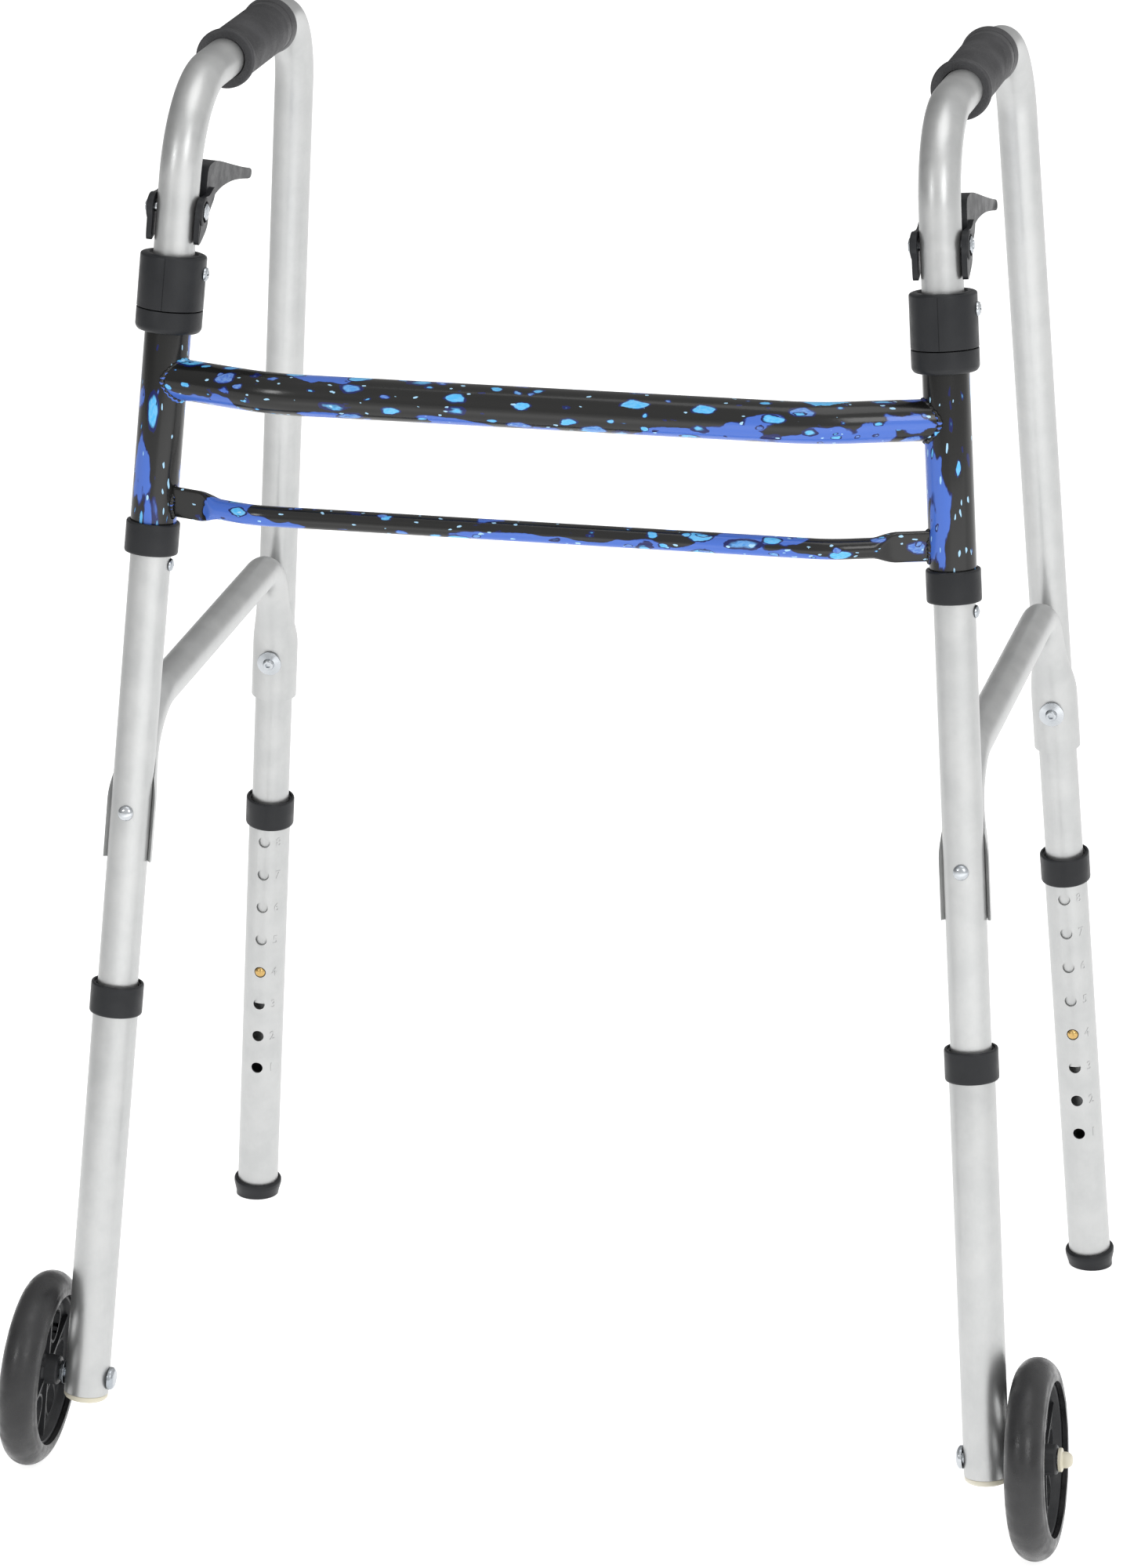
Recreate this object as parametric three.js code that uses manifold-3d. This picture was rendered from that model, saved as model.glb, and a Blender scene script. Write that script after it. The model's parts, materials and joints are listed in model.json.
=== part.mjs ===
// A folding walking frame: two side frames of bent tube hinge on a pair of painted sleeves that
// two crossbars hold together. Wheels at the front, glides at the back, legs set by snap buttons.
// Millimetres, +Z up, +X to the user's left, -Y ahead of the user, origin on the floor at the middle.
import * as THREE from "three";
import { mergeVertices } from "three/addons/utils/BufferGeometryUtils.js";
import Module from "manifold-3d";

const wasm = await Module();
wasm.setup();

// ---- Driving dimensions -------------------------------------------------------------------------

// The left side frame stands on two leg axes, each given at the floor and at REFERENCE_HEIGHT.
const REFERENCE_HEIGHT = 850;
const FRONT_FLOOR = new THREE.Vector3(295.2, -208.7, 0);
const FRONT_TOP = new THREE.Vector3(231.7, -123.1, REFERENCE_HEIGHT);
const REAR_FLOOR = new THREE.Vector3(301.9, 250.2, 0);
const REAR_TOP = new THREE.Vector3(237.9, 167.1, REFERENCE_HEIGHT);

const GAP = 0.3; // between pieces that touch
const SIDES = 12; // facets round a tube

const TUBE_RADIUS = 12.7; // one-inch tube
const TUBE_BORE = 11.3;
const OUTER_RADIUS = 14.3; // the sleeves and leg extensions slide over the one-inch tube
const OUTER_BORE = 13.3;

// Heights along the front leg axis.
const GRIP_LINE = 890; // where the grip run meets the front leg axis
const BEND_RADIUS = 60;
const PIVOT = 816;
const HUB = { top: 789, seam: 755, bottom: 741, radius: 20.5 };
const HUB_SCREW = 778;
const SLEEVE = { top: 753, bottom: 606.3 };
const SLEEVE_COLLAR = 602;
const STOP_RIVET = 595.5;
const BRACE_BOLT = 437.4;
const FRONT_TUBE_END = 168;
const FRONT_LEG = { top: 320.5, bottom: 50.4, hole8: 294.8 };
const AXLE = 61.1;

// Heights along the rear leg axis.
const BRACE_SCREW = 424;
const REAR_TUBE_END = 159.2;
const REAR_LEG = { top: 311.9, bottom: 6.6, hole8: 286.2 };

const HOLES = 8;
const HOLE_STEP = 25.4;
const HOLE_RADIUS = 4.3;
const BUTTON_HOLE = 4; // the setting in use
const COLLAR = { radius: 16.75, height: 20, lip: 4 };
const FOOT = { top: 13, floor: 6.3, topRadius: 17, bottomRadius: 15 };

const BAR = { radius: 11.1, height: 495, offset: 11, bend: 45, frontEnd: 405, rearEnd: 395 };
const SADDLE = { radius: 14.8, bore: 13.05, length: 46 };
const GRIP = { start: 90.5, end: 204, radius: 17.25, flange: 19, bore: 13.05 };

const UPPER_BAR = { radius: 12.7, bore: 11.3, height: 706.5, bow: 26.5, bendAt: 168, bend: 120 };
const LOWER_BAR = { radius: 6.35, height: 631, bow: 25, bendAt: 178, bend: 60 };
const FLAT_END = { length: 24, thickness: 3.2, height: 19 };

const WHEEL = { radius: 63.5, section: 12.5, offset: 31.5, sides: 24 };
const WINDOWS = { count: 6, radius: 28.5, radial: 10.5, around: 8.5 };

const LEVER_HALF_WIDTH = 18;
const LOCK_PIN = { bottom: 742, top: 790, radius: 5, flange: 9 };

// ---- Materials ----------------------------------------------------------------------------------

const finish = (color, roughness, metalness) =>
  new THREE.MeshStandardMaterial({ color, roughness, metalness });
const aluminium = finish(0xc6c9cc, 0.35, 0.9);
const paint = finish(0x0b1238, 0.15, 0);
const plastic = finish(0x18191b, 0.45, 0);
const rubber = finish(0x1c1c1d, 0.7, 0);
const zinc = finish(0xb9bdc2, 0.3, 1);
const brass = finish(0xb48f45, 0.3, 1);
const nylon = finish(0xece6d4, 0.5, 0);
const vinyl = finish(0x141416, 0.6, 0);

// ---- Solids -------------------------------------------------------------------------------------

function toSolid(geometry) {
  const bare = geometry.index ? geometry.toNonIndexed() : geometry.clone();
  bare.deleteAttribute("normal");
  bare.deleteAttribute("uv");
  const merged = mergeVertices(bare, 1e-3);
  const index = merged.index.array;
  const triVerts = [];
  for (let i = 0; i < index.length; i += 3) {
    const [a, b, c] = [index[i], index[i + 1], index[i + 2]];
    if (a !== b && b !== c && c !== a) triVerts.push(a, b, c);
  }
  const mesh = { numProp: 3, vertProperties: merged.attributes.position.array };
  const solid = new wasm.Manifold(new wasm.Mesh({ ...mesh, triVerts: new Uint32Array(triVerts) }));
  if (solid.volume() > 0) return solid;
  // A profile drawn the other way round has its faces turned inwards, so they are turned back.
  return new wasm.Manifold(
    new wasm.Mesh({ ...mesh, triVerts: new Uint32Array(triVerts.reverse()) }),
  );
}

function toGeometry(solid) {
  const mesh = solid.getMesh();
  const geometry = new THREE.BufferGeometry();
  geometry.setAttribute("position", new THREE.BufferAttribute(mesh.vertProperties, 3));
  geometry.setIndex(new THREE.BufferAttribute(mesh.triVerts, 1));
  geometry.computeVertexNormals();
  return geometry;
}

const join = (...pieces) => toGeometry(pieces.map(toSolid).reduce((a, b) => a.add(b)));
const cut = (piece, ...tools) =>
  toGeometry(tools.map(toSolid).reduce((a, b) => a.subtract(b), toSolid(piece)));

// Turns a piece made along Z to lie along another axis.
const alongX = (geometry) => geometry.rotateY(Math.PI / 2);
const alongY = (geometry) => geometry.rotateX(-Math.PI / 2);

// A piece turned on the Z axis from a closed outline of [radius, height] points.
function turned(outline, sides = SIDES) {
  const points = [...outline, outline[0]].map(([radius, height]) => new THREE.Vector2(radius, height));
  return new THREE.LatheGeometry(points, sides).rotateX(Math.PI / 2);
}

const rod = (radius, from, to, sides = SIDES) =>
  new THREE.CylinderGeometry(radius, radius, to - from, sides)
    .rotateX(Math.PI / 2)
    .translate(0, 0, (from + to) / 2);

function polygon(radius, sides) {
  const turn = (2 * Math.PI) / sides;
  return Array.from(
    { length: sides },
    (_, i) => new THREE.Vector2(radius * Math.cos(i * turn), radius * Math.sin(i * turn)),
  );
}

function tubeSection(radius, bore, sides = SIDES) {
  const shape = new THREE.Shape(polygon(radius, sides));
  if (bore) shape.holes.push(new THREE.Path(polygon(bore, sides)));
  return shape;
}

const straightTube = (radius, bore, from, to) =>
  new THREE.ExtrudeGeometry(tubeSection(radius, bore), {
    depth: to - from,
    bevelEnabled: false,
  }).translate(0, 0, from);

// A route of straight runs joined by round bends, with one station at each end of a run and a few
// round each bend.
class BentRoute extends THREE.Curve {
  constructor(corners, radius, bendSteps) {
    super();
    const directions = corners.slice(1).map((corner, i) => corner.clone().sub(corners[i]).normalize());
    this.points = [corners[0]];
    this.tangents = [directions[0]];
    for (let i = 1; i < corners.length - 1; i++) {
      this.addBend(corners[i], directions[i - 1], directions[i], radius, bendSteps);
    }
    this.points.push(corners.at(-1));
    this.tangents.push(directions.at(-1));
  }
  addBend(corner, before, after, radius, steps) {
    const angle = before.angleTo(after);
    const axis = before.clone().cross(after).normalize();
    const inward = axis.clone().cross(before);
    const centre = corner
      .clone()
      .addScaledVector(before, -radius * Math.tan(angle / 2))
      .addScaledVector(inward, radius);
    for (let step = 0; step <= steps; step++) {
      const turn = (angle * step) / steps;
      const spoke = inward.clone().negate().applyAxisAngle(axis, turn);
      this.points.push(centre.clone().addScaledVector(spoke, radius));
      this.tangents.push(before.clone().applyAxisAngle(axis, turn));
    }
  }
  getUtoTmapping(u) {
    return u;
  }
  getPoint(t, target = new THREE.Vector3()) {
    const place = t * (this.points.length - 1);
    const first = Math.min(Math.floor(place), this.points.length - 2);
    return target.lerpVectors(this.points[first], this.points[first + 1], place - first);
  }
  getTangent(t, target = new THREE.Vector3()) {
    return target.copy(this.tangents[Math.round(t * (this.tangents.length - 1))]);
  }
}

const swept = (section, route) =>
  new THREE.ExtrudeGeometry(section, { steps: route.points.length - 1, extrudePath: route });

class Helix extends THREE.Curve {
  constructor(radius, from, to, turns) {
    super();
    Object.assign(this, { radius, from, to, turns });
  }
  getPoint(t, target = new THREE.Vector3()) {
    const angle = t * this.turns * 2 * Math.PI;
    return target.set(
      this.radius * Math.cos(angle),
      this.radius * Math.sin(angle),
      this.from + t * (this.to - this.from),
    );
  }
}

// ---- Frames of reference ------------------------------------------------------------------------

// In a side frame's own axes X points outboard, Y back in the plane of the legs and Z up the front
// leg axis, from the floor.
const up = FRONT_TOP.clone().sub(FRONT_FLOOR).normalize();
const outboard = REAR_FLOOR.clone().sub(FRONT_FLOOR).cross(up).normalize();
const back = up.clone().cross(outboard);
const sideFrame = new THREE.Matrix4().makeBasis(outboard, back, up).setPosition(FRONT_FLOOR);
const intoSide = sideFrame.clone().invert();

// In a rear leg's axes, set inside the side frame's, Z points up the rear leg axis from the floor.
const rearFloor = REAR_FLOOR.clone().applyMatrix4(intoSide);
const rearUp = REAR_TOP.clone().applyMatrix4(intoSide).sub(rearFloor).normalize();
const rearFrame = new THREE.Matrix4()
  .makeRotationX(Math.atan2(-rearUp.y, rearUp.z))
  .setPosition(rearFloor);
const inRear = (geometry) => geometry.applyMatrix4(rearFrame);

const mirror = new THREE.Matrix4().makeScale(-1, 1, 1);
const inSide = (geometry, side) => {
  const placed = geometry.applyMatrix4(sideFrame);
  return side > 0 ? placed : placed.applyMatrix4(mirror);
};

// A point of the rear leg's plane, given by its height on the rear leg axis and its distance ahead.
const rearPoint = (height, ahead) => new THREE.Vector3(0, -ahead, height).applyMatrix4(rearFrame);

// A level line in the side frame's plane, at a height above the floor on the front leg axis.
function levelHeight(floorHeight, y) {
  return (floorHeight - y * back.z) / up.z;
}

// Where a level line meets the line that runs a distance ahead of the rear leg axis.
function levelMeetsRear(floorHeight, ahead) {
  const foot = rearPoint(0, ahead);
  const rise = -back.z / up.z;
  const height = (levelHeight(floorHeight, foot.y) - foot.z) / (rearUp.z - rise * rearUp.y);
  return rearPoint(height, ahead);
}

// ---- Side frame ---------------------------------------------------------------------------------

const rearCorner = (() => {
  const level = GRIP_LINE * up.z;
  return levelMeetsRear(level, 0);
})();
const gripAngle = Math.atan2(rearCorner.y, rearCorner.z - GRIP_LINE);

const holeHeight = (hole8, number) => hole8 - (HOLES - number) * HOLE_STEP;
const frontButton = holeHeight(FRONT_LEG.hole8, BUTTON_HOLE);
const rearButton = holeHeight(REAR_LEG.hole8, BUTTON_HOLE);

function sideTube(head) {
  const corners = [
    new THREE.Vector3(0, 0, FRONT_TUBE_END),
    new THREE.Vector3(0, 0, GRIP_LINE),
    rearCorner,
    rearPoint(REAR_TUBE_END, 0),
  ];
  const tube = swept(tubeSection(TUBE_RADIUS, TUBE_BORE), new BentRoute(corners, BEND_RADIUS, 5));
  return cut(
    tube,
    alongX(rod(3.5, -20, 20, 8)).translate(0, 0, PIVOT),
    alongX(rod(2.4, 8, 20, 6)).scale(head, 1, 1).translate(0, 0, HUB_SCREW),
    alongX(rod(2.3, 8, 20, 6)).scale(head, 1, 1).translate(0, 0, STOP_RIVET),
    alongY(rod(2.9, -20, 20, 6)).translate(0, 0, BRACE_BOLT),
    alongY(rod(HOLE_RADIUS, 8, 16, 8)).translate(0, 0, frontButton),
    inRear(alongY(rod(2.9, -20, 20, 6)).translate(0, 0, BRACE_SCREW)),
    inRear(alongY(rod(HOLE_RADIUS, -16, -8, 8)).translate(0, 0, rearButton)),
  );
}

// Half a collar that wraps one side of a leg: the side where y has the sign given.
function saddle(bottom, sign) {
  const wrap = rod(SADDLE.radius, bottom, bottom + SADDLE.length);
  const open = new THREE.BoxGeometry(60, 30, 2 * SADDLE.length)
    .translate(0, -sign * 16, bottom + SADDLE.length / 2);
  return cut(wrap, open);
}

function sideBrace() {
  const corners = [
    new THREE.Vector3(0, BAR.offset, BAR.frontEnd),
    new THREE.Vector3(0, BAR.offset, levelHeight(BAR.height, BAR.offset)),
    levelMeetsRear(BAR.height, BAR.offset),
    rearPoint(BAR.rearEnd, BAR.offset),
  ];
  const bar = swept(tubeSection(BAR.radius, 0), new BentRoute(corners, BAR.bend, 4));
  return cut(
    join(bar, saddle(BAR.frontEnd, 1), inRear(saddle(BAR.rearEnd, -1))),
    rod(SADDLE.bore, 300, 600),
    inRear(rod(SADDLE.bore, 300, 600)),
    alongY(rod(2.9, 0, 40, 6)).translate(0, 0, BRACE_BOLT),
    inRear(alongY(rod(2.9, -40, 0, 6)).translate(0, 0, BRACE_SCREW)),
  );
}

// A dome head, a shank and a nut, along Y: the head looks ahead.
const braceFrontBolt = () =>
  alongY(turned([[0, -16.2], [3.5, -15.4], [5, -13.1], [2.4, -13.1], [2.4, 22.5], [4.6, 22.5],
    [4.6, 26], [0, 26]], 8)).translate(0, 0, BRACE_BOLT);

// A button head on a washer, a shank through the leg and a nut behind it.
const braceRearScrew = () =>
  alongY(turned([[0, -26.4], [3, -26.4], [3.9, -24.6], [8.5, -24], [8.5, -22.6], [2.4, -22.6],
    [2.4, 13.1], [4.6, 13.1], [4.6, 16.4], [0, 16.4]], 8)).translate(0, 0, BRACE_SCREW);

function handGrip() {
  const { start, end, radius, flange, bore } = GRIP;
  const outline = [[bore, start], [flange, start], [flange, start + 4], [radius, start + 5.5],
    [radius, end - 9], [flange - 0.6, end - 2], [flange - 1.4, end], [bore, end]];
  return turned(outline).rotateX(-gripAngle).translate(0, 0, GRIP_LINE);
}

function hubHousing(head) {
  const { top, seam, radius } = HUB;
  const bottom = seam + GAP;
  const outline = [[TUBE_RADIUS + GAP, bottom], [radius, bottom], [radius, top - 5],
    [radius - 1.6, top - 1.5], [radius - 5, top], [TUBE_RADIUS + GAP, top]];
  return cut(turned(outline), alongX(rod(2.4, 8, 30, 6)).scale(head, 1, 1).translate(0, 0, HUB_SCREW));
}

const hubScrew = (head) =>
  alongX(turned([[0, 11], [2, 11], [2, 20.8], [4.6, 20.8], [3.6, 22.6], [0, 23.2]], 8))
    .scale(head, 1, 1)
    .translate(0, 0, HUB_SCREW);

const stopRivet = (head) =>
  alongX(turned([[0, 11], [1.9, 11], [1.9, 13], [4.2, 13], [3, 15], [0, 15.6]], 8))
    .scale(head, 1, 1)
    .translate(0, 0, STOP_RIVET);

// The pivot bolt runs across the tube, with a hex head at one end and a hex nut at the other.
function leverPivotBolt() {
  const face = LEVER_HALF_WIDTH + GAP;
  const hexes = [-1, 1].map((sign) =>
    rod(5.6, Math.min(sign * face, sign * (face + 3.6)), Math.max(sign * face, sign * (face + 3.6)), 6));
  return alongX(join(rod(3, -face - 1, face + 1, 8), ...hexes)).translate(0, 0, PIVOT);
}

// A yoke that straddles the tube, with a paddle that reaches back under the grip.
function releaseLever() {
  const outline = new THREE.Shape();
  outline.absarc(0, PIVOT, 8.6, Math.PI, Math.PI / 2, true);
  outline.lineTo(14, 841);
  outline.lineTo(39, 842.5);
  outline.lineTo(122, 832.5);
  outline.lineTo(125, 829);
  outline.lineTo(124, 823);
  outline.lineTo(75, 827);
  outline.lineTo(45, 826);
  outline.lineTo(20, 821.5);
  outline.lineTo(12, 815);
  outline.lineTo(11, 803.5);
  outline.lineTo(-5.5, 796.5);
  // The outline's axes are the side frame's Y and Z, and it is as thick as the lever is wide.
  const block = new THREE.ExtrudeGeometry(outline, {
    depth: 2 * LEVER_HALF_WIDTH,
    bevelEnabled: false,
    curveSegments: 4,
  })
    .translate(0, 0, -LEVER_HALF_WIDTH)
    .rotateY(Math.PI / 2)
    .rotateX(Math.PI / 2);
  const slot = new THREE.BoxGeometry(26.8, 53.6, 100).translate(0, -13, PIVOT);
  return cut(block, slot, alongX(rod(3.4, -30, 30, 12)).translate(0, 0, PIVOT));
}

function lockPin() {
  const { bottom, top, radius, flange } = LOCK_PIN;
  return turned([[0, bottom], [radius - 2, bottom], [radius, bottom + 3], [radius, top - 4],
    [flange, top - 4], [flange, top], [0, top]], 10);
}

const lockSpring = () =>
  new THREE.ExtrudeGeometry(tubeSection(0.8, 0, 5), {
    steps: 32,
    extrudePath: new Helix(7, LOCK_PIN.top + 1.3, PIVOT - 4.6, 4),
  });

// ---- Sleeves and crossbars ----------------------------------------------------------------------

function lowerHubCollar() {
  const { seam, bottom, radius } = HUB;
  const bore = OUTER_RADIUS + GAP;
  return turned([[bore, bottom], [radius - 1.5, bottom], [radius, bottom + 2], [radius, seam],
    [bore, seam]]);
}

// A collar on the end of an outer tube, with its inner lip at the top or, turned over, at the bottom.
function collar(bottom, lipAtTop) {
  const { radius, height, lip } = COLLAR;
  const wide = OUTER_RADIUS + GAP;
  const narrow = OUTER_BORE + 0.05;
  const outline = [[wide, 0], [radius - 1, 0], [radius, 1.5], [radius, height - 1.5],
    [radius - 1, height], [narrow, height], [narrow, height - lip], [wide, height - lip]];
  const place = lipAtTop ? ([r, h]) => [r, bottom + h] : ([r, h]) => [r, bottom + height - h];
  return turned(outline.map(place));
}

// Where a level bar's line meets the sleeve axis, on the side given.
function sleevePoint(height, side) {
  const rise = height / REFERENCE_HEIGHT;
  const point = FRONT_FLOOR.clone().lerp(FRONT_TOP, rise);
  return new THREE.Vector3(side * point.x, point.y, height);
}

function bowedRoute({ height, bow, bendAt, bend }, steps) {
  const [left, right] = [1, -1].map((side) => sleevePoint(height, side));
  const middle = [1, -1].map((side) => new THREE.Vector3(side * bendAt, left.y - bow, height));
  return new BentRoute([left, ...middle, right], bend, steps);
}

const sleeveCutters = () =>
  [1, -1].map((side) => inSide(rod(OUTER_RADIUS + GAP, SLEEVE.bottom, SLEEVE.top), side));

const upperCrossbar = () =>
  cut(swept(tubeSection(UPPER_BAR.radius, UPPER_BAR.bore), bowedRoute(UPPER_BAR, 3)), ...sleeveCutters());

// The lower crossbar's ends are pressed flat where they meet the sleeves.
function flatEnd(side) {
  const { height, bow, bendAt } = LOWER_BAR;
  const start = sleevePoint(height, side);
  const inward = new THREE.Vector3(side * bendAt, start.y - bow, height).sub(start).normalize();
  const middle = start.clone().addScaledVector(inward, 10 + FLAT_END.length / 2);
  return new THREE.BoxGeometry(FLAT_END.length, FLAT_END.thickness, FLAT_END.height)
    .rotateZ(Math.atan2(inward.y, inward.x))
    .translate(...middle.toArray());
}

// The round bar is trimmed away inside the pressed ends, so only their plates reach the sleeves.
function lowerCrossbar() {
  const bar = swept(tubeSection(LOWER_BAR.radius, 0, 10), bowedRoute(LOWER_BAR, 2));
  const trims = [1, -1].map((side) => inSide(rod(26, SLEEVE.bottom, SLEEVE.top), side));
  return cut(join(cut(bar, ...trims), flatEnd(1), flatEnd(-1)), ...sleeveCutters());
}

// ---- Leg extensions -----------------------------------------------------------------------------

// The row of setting holes on the side of a leg where y has the sign given.
const settingHoles = (hole8, sign) =>
  Array.from({ length: HOLES }, (_, i) =>
    alongY(rod(HOLE_RADIUS, 10, 18, 8)).scale(1, sign, 1).translate(0, 0, holeHeight(hole8, i + 1)));

// A domed button on the leaf of its spring clip, pushed out along Y with the sign given.
function snapButton(height, sign) {
  const button = alongY(turned([[0, 7.2], [3.75, 7.2], [3.75, 14.6], [2.6, 15.7], [0, 16]], 8));
  const leaf = new THREE.BoxGeometry(8, 1.2, 44).translate(0, 7.6, -6);
  return join(button, leaf).scale(1, sign, 1).translate(0, 0, height);
}

const frontLegTube = () =>
  cut(
    straightTube(OUTER_RADIUS, OUTER_BORE, FRONT_LEG.bottom, FRONT_LEG.top),
    ...settingHoles(FRONT_LEG.hole8, 1),
    alongX(rod(4.4, -20, 20, 8)).translate(0, 0, AXLE),
  );

const rearLegTube = () =>
  cut(
    straightTube(OUTER_RADIUS, OUTER_BORE, REAR_LEG.bottom, REAR_LEG.top),
    ...settingHoles(REAR_LEG.hole8, -1),
  );

function frontLegPlug() {
  const end = FRONT_LEG.bottom - GAP;
  return turned([[0, end - 4], [OUTER_RADIUS - 1.2, end - 4], [OUTER_RADIUS - 0.1, end - 2.6],
    [OUTER_RADIUS - 0.1, end], [OUTER_BORE - GAP, end], [OUTER_BORE - GAP, end + 5], [0, end + 5]]);
}

// The glide is a cup round the end of the rear leg, cut level where it stands on the floor.
function rearFoot() {
  const { top, floor, topRadius, bottomRadius } = FOOT;
  const bore = OUTER_RADIUS + GAP;
  const cup = turned([[0, -6], [bottomRadius, -6], [bottomRadius, 2], [topRadius, top - 2.5],
    [topRadius - 0.8, top], [bore, top], [bore, floor], [0, floor]], 16);
  const underFloor = new THREE.BoxGeometry(200, 200, 40)
    .translate(REAR_FLOOR.x, REAR_FLOOR.y, -20)
    .applyMatrix4(intoSide)
    .applyMatrix4(rearFrame.clone().invert());
  return cut(cup, underFloor);
}

// ---- Wheels -------------------------------------------------------------------------------------

// A piece turned about the axle: the outline's heights run outboard from the leg axis.
const onAxle = (geometry) => alongX(geometry).translate(0, 0, AXLE);

function tyre() {
  const { radius, section, offset, sides } = WHEEL;
  const ring = radius - section;
  const outline = [-90, -60, -30, 0, 30, 60, 90].map((degrees) => {
    const angle = THREE.MathUtils.degToRad(degrees);
    return [ring + section * Math.cos(angle), offset + section * Math.sin(angle)];
  });
  return onAxle(turned(outline, sides));
}

function wheelHub() {
  const { radius, section, offset, sides } = WHEEL;
  const rim = radius - section - GAP;
  const half = [[4.6, 13.4], [9.5, 13.4], [10.5, 3.6], [rim - 5, 2.6], [rim - 3.5, 9.5], [rim, 9.5]];
  const outline = [
    ...half.map(([r, h]) => [r, offset - h]),
    ...half.toReversed().map(([r, h]) => [r, offset + h]),
  ];
  const windows = Array.from({ length: WINDOWS.count }, (_, i) =>
    rod(1, offset - 8, offset + 8, 8)
      .scale(WINDOWS.radial, WINDOWS.around, 1)
      .translate(WINDOWS.radius, 0, 0)
      .rotateZ(((i + 0.5) * 2 * Math.PI) / WINDOWS.count));
  return onAxle(cut(turned(outline, sides), ...windows));
}

const axleBolt = () =>
  onAxle(turned([[0, -18.4], [6, -18.4], [7.5, -16.8], [7.5, -14.6], [4, -14.6], [4, 50], [0, 50]], 10));
const axleInnerNut = () =>
  onAxle(turned([[4.4, 14.6], [8.2, 14.6], [8.2, 15.6], [6.6, 15.6], [6.6, 17.7], [4.4, 17.7]], 10));
const axleCapNut = () =>
  onAxle(turned([[4.4, 45.3], [7.6, 45.3], [7.6, 47.8], [5.2, 48.2], [5.2, 51.6], [3.4, 54], [0, 54],
    [0, 50.5], [4.4, 50.5]], 10));

// ---- Assembly -----------------------------------------------------------------------------------

function mesh(name, geometry, material) {
  const piece = new THREE.Mesh(toGeometry(toSolid(geometry)), material);
  piece.name = name;
  return piece;
}

function sideAssembly(name, side) {
  const group = new THREE.Group();
  group.applyMatrix4(sideFrame);
  const rear = new THREE.Group();
  rear.applyMatrix4(rearFrame);
  group.add(
    // the hinge sleeve, which belongs to the crossbar frame
    mesh(`${name}_pivot_sleeve`, straightTube(OUTER_RADIUS, OUTER_BORE, SLEEVE.bottom, SLEEVE.top), paint),
    mesh(`${name}_lower_hub_collar`, lowerHubCollar(), plastic),
    mesh(`${name}_sleeve_end_collar`, collar(SLEEVE_COLLAR, false), plastic),
    // the side frame that turns in it
    mesh(`${name}_side_tube`, sideTube(side), aluminium),
    mesh(`${name}_side_brace`, sideBrace(), aluminium),
    mesh(`${name}_brace_front_bolt`, braceFrontBolt(), zinc),
    mesh(`${name}_hand_grip`, handGrip(), vinyl),
    mesh(`${name}_hub_housing`, hubHousing(side), plastic),
    mesh(`${name}_hub_screw`, hubScrew(side), zinc),
    mesh(`${name}_sleeve_stop_rivet`, stopRivet(side), zinc),
    mesh(`${name}_lever_pivot_bolt`, leverPivotBolt(), zinc),
    mesh(`${name}_release_lever`, releaseLever(), plastic),
    mesh(`${name}_lock_pin`, lockPin(), zinc),
    mesh(`${name}_lock_spring`, lockSpring(), zinc),
    // the front leg extension and its wheel
    mesh(`${name}_front_leg_tube`, frontLegTube(), aluminium),
    mesh(`${name}_front_leg_collar`, collar(FRONT_LEG.top - COLLAR.height + COLLAR.lip + GAP, true), plastic),
    mesh(`${name}_front_leg_plug`, frontLegPlug(), nylon),
    mesh(`${name}_front_snap_button`, snapButton(frontButton, 1), brass),
    mesh(`${name}_axle_bolt`, axleBolt(), zinc),
    mesh(`${name}_axle_inner_nut`, axleInnerNut(), zinc),
    mesh(`${name}_axle_cap_nut`, axleCapNut(), nylon),
    mesh(`${name}_tyre`, tyre(), rubber),
    mesh(`${name}_wheel_hub`, wheelHub(), plastic),
    rear,
  );
  rear.add(
    mesh(`${name}_brace_rear_screw`, braceRearScrew(), zinc),
    mesh(`${name}_rear_leg_tube`, rearLegTube(), aluminium),
    mesh(`${name}_rear_leg_collar`, collar(REAR_LEG.top - COLLAR.height + COLLAR.lip + GAP, true), plastic),
    mesh(`${name}_rear_foot`, rearFoot(), plastic),
    mesh(`${name}_rear_snap_button`, snapButton(rearButton, -1), brass),
  );
  const handed = new THREE.Group();
  handed.scale.x = side;
  handed.add(group);
  return handed;
}

const walkingFrame = new THREE.Group();
walkingFrame.add(
  mesh("upper_crossbar", upperCrossbar(), paint),
  mesh("lower_crossbar", lowerCrossbar(), paint),
  sideAssembly("left", 1),
  sideAssembly("right", -1),
);

export default walkingFrame;
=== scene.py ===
"""A folding walking frame: the looks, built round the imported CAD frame.

Each side of the frame has axes of its own, in millimetres: X outboard, Y back in the plane of the
legs and Z up the front leg axis, from the floor. A rear leg's axes have Z up the rear leg axis.
"""

import json
import math

import bmesh
import bpy
from mathutils import Matrix, Vector


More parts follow.
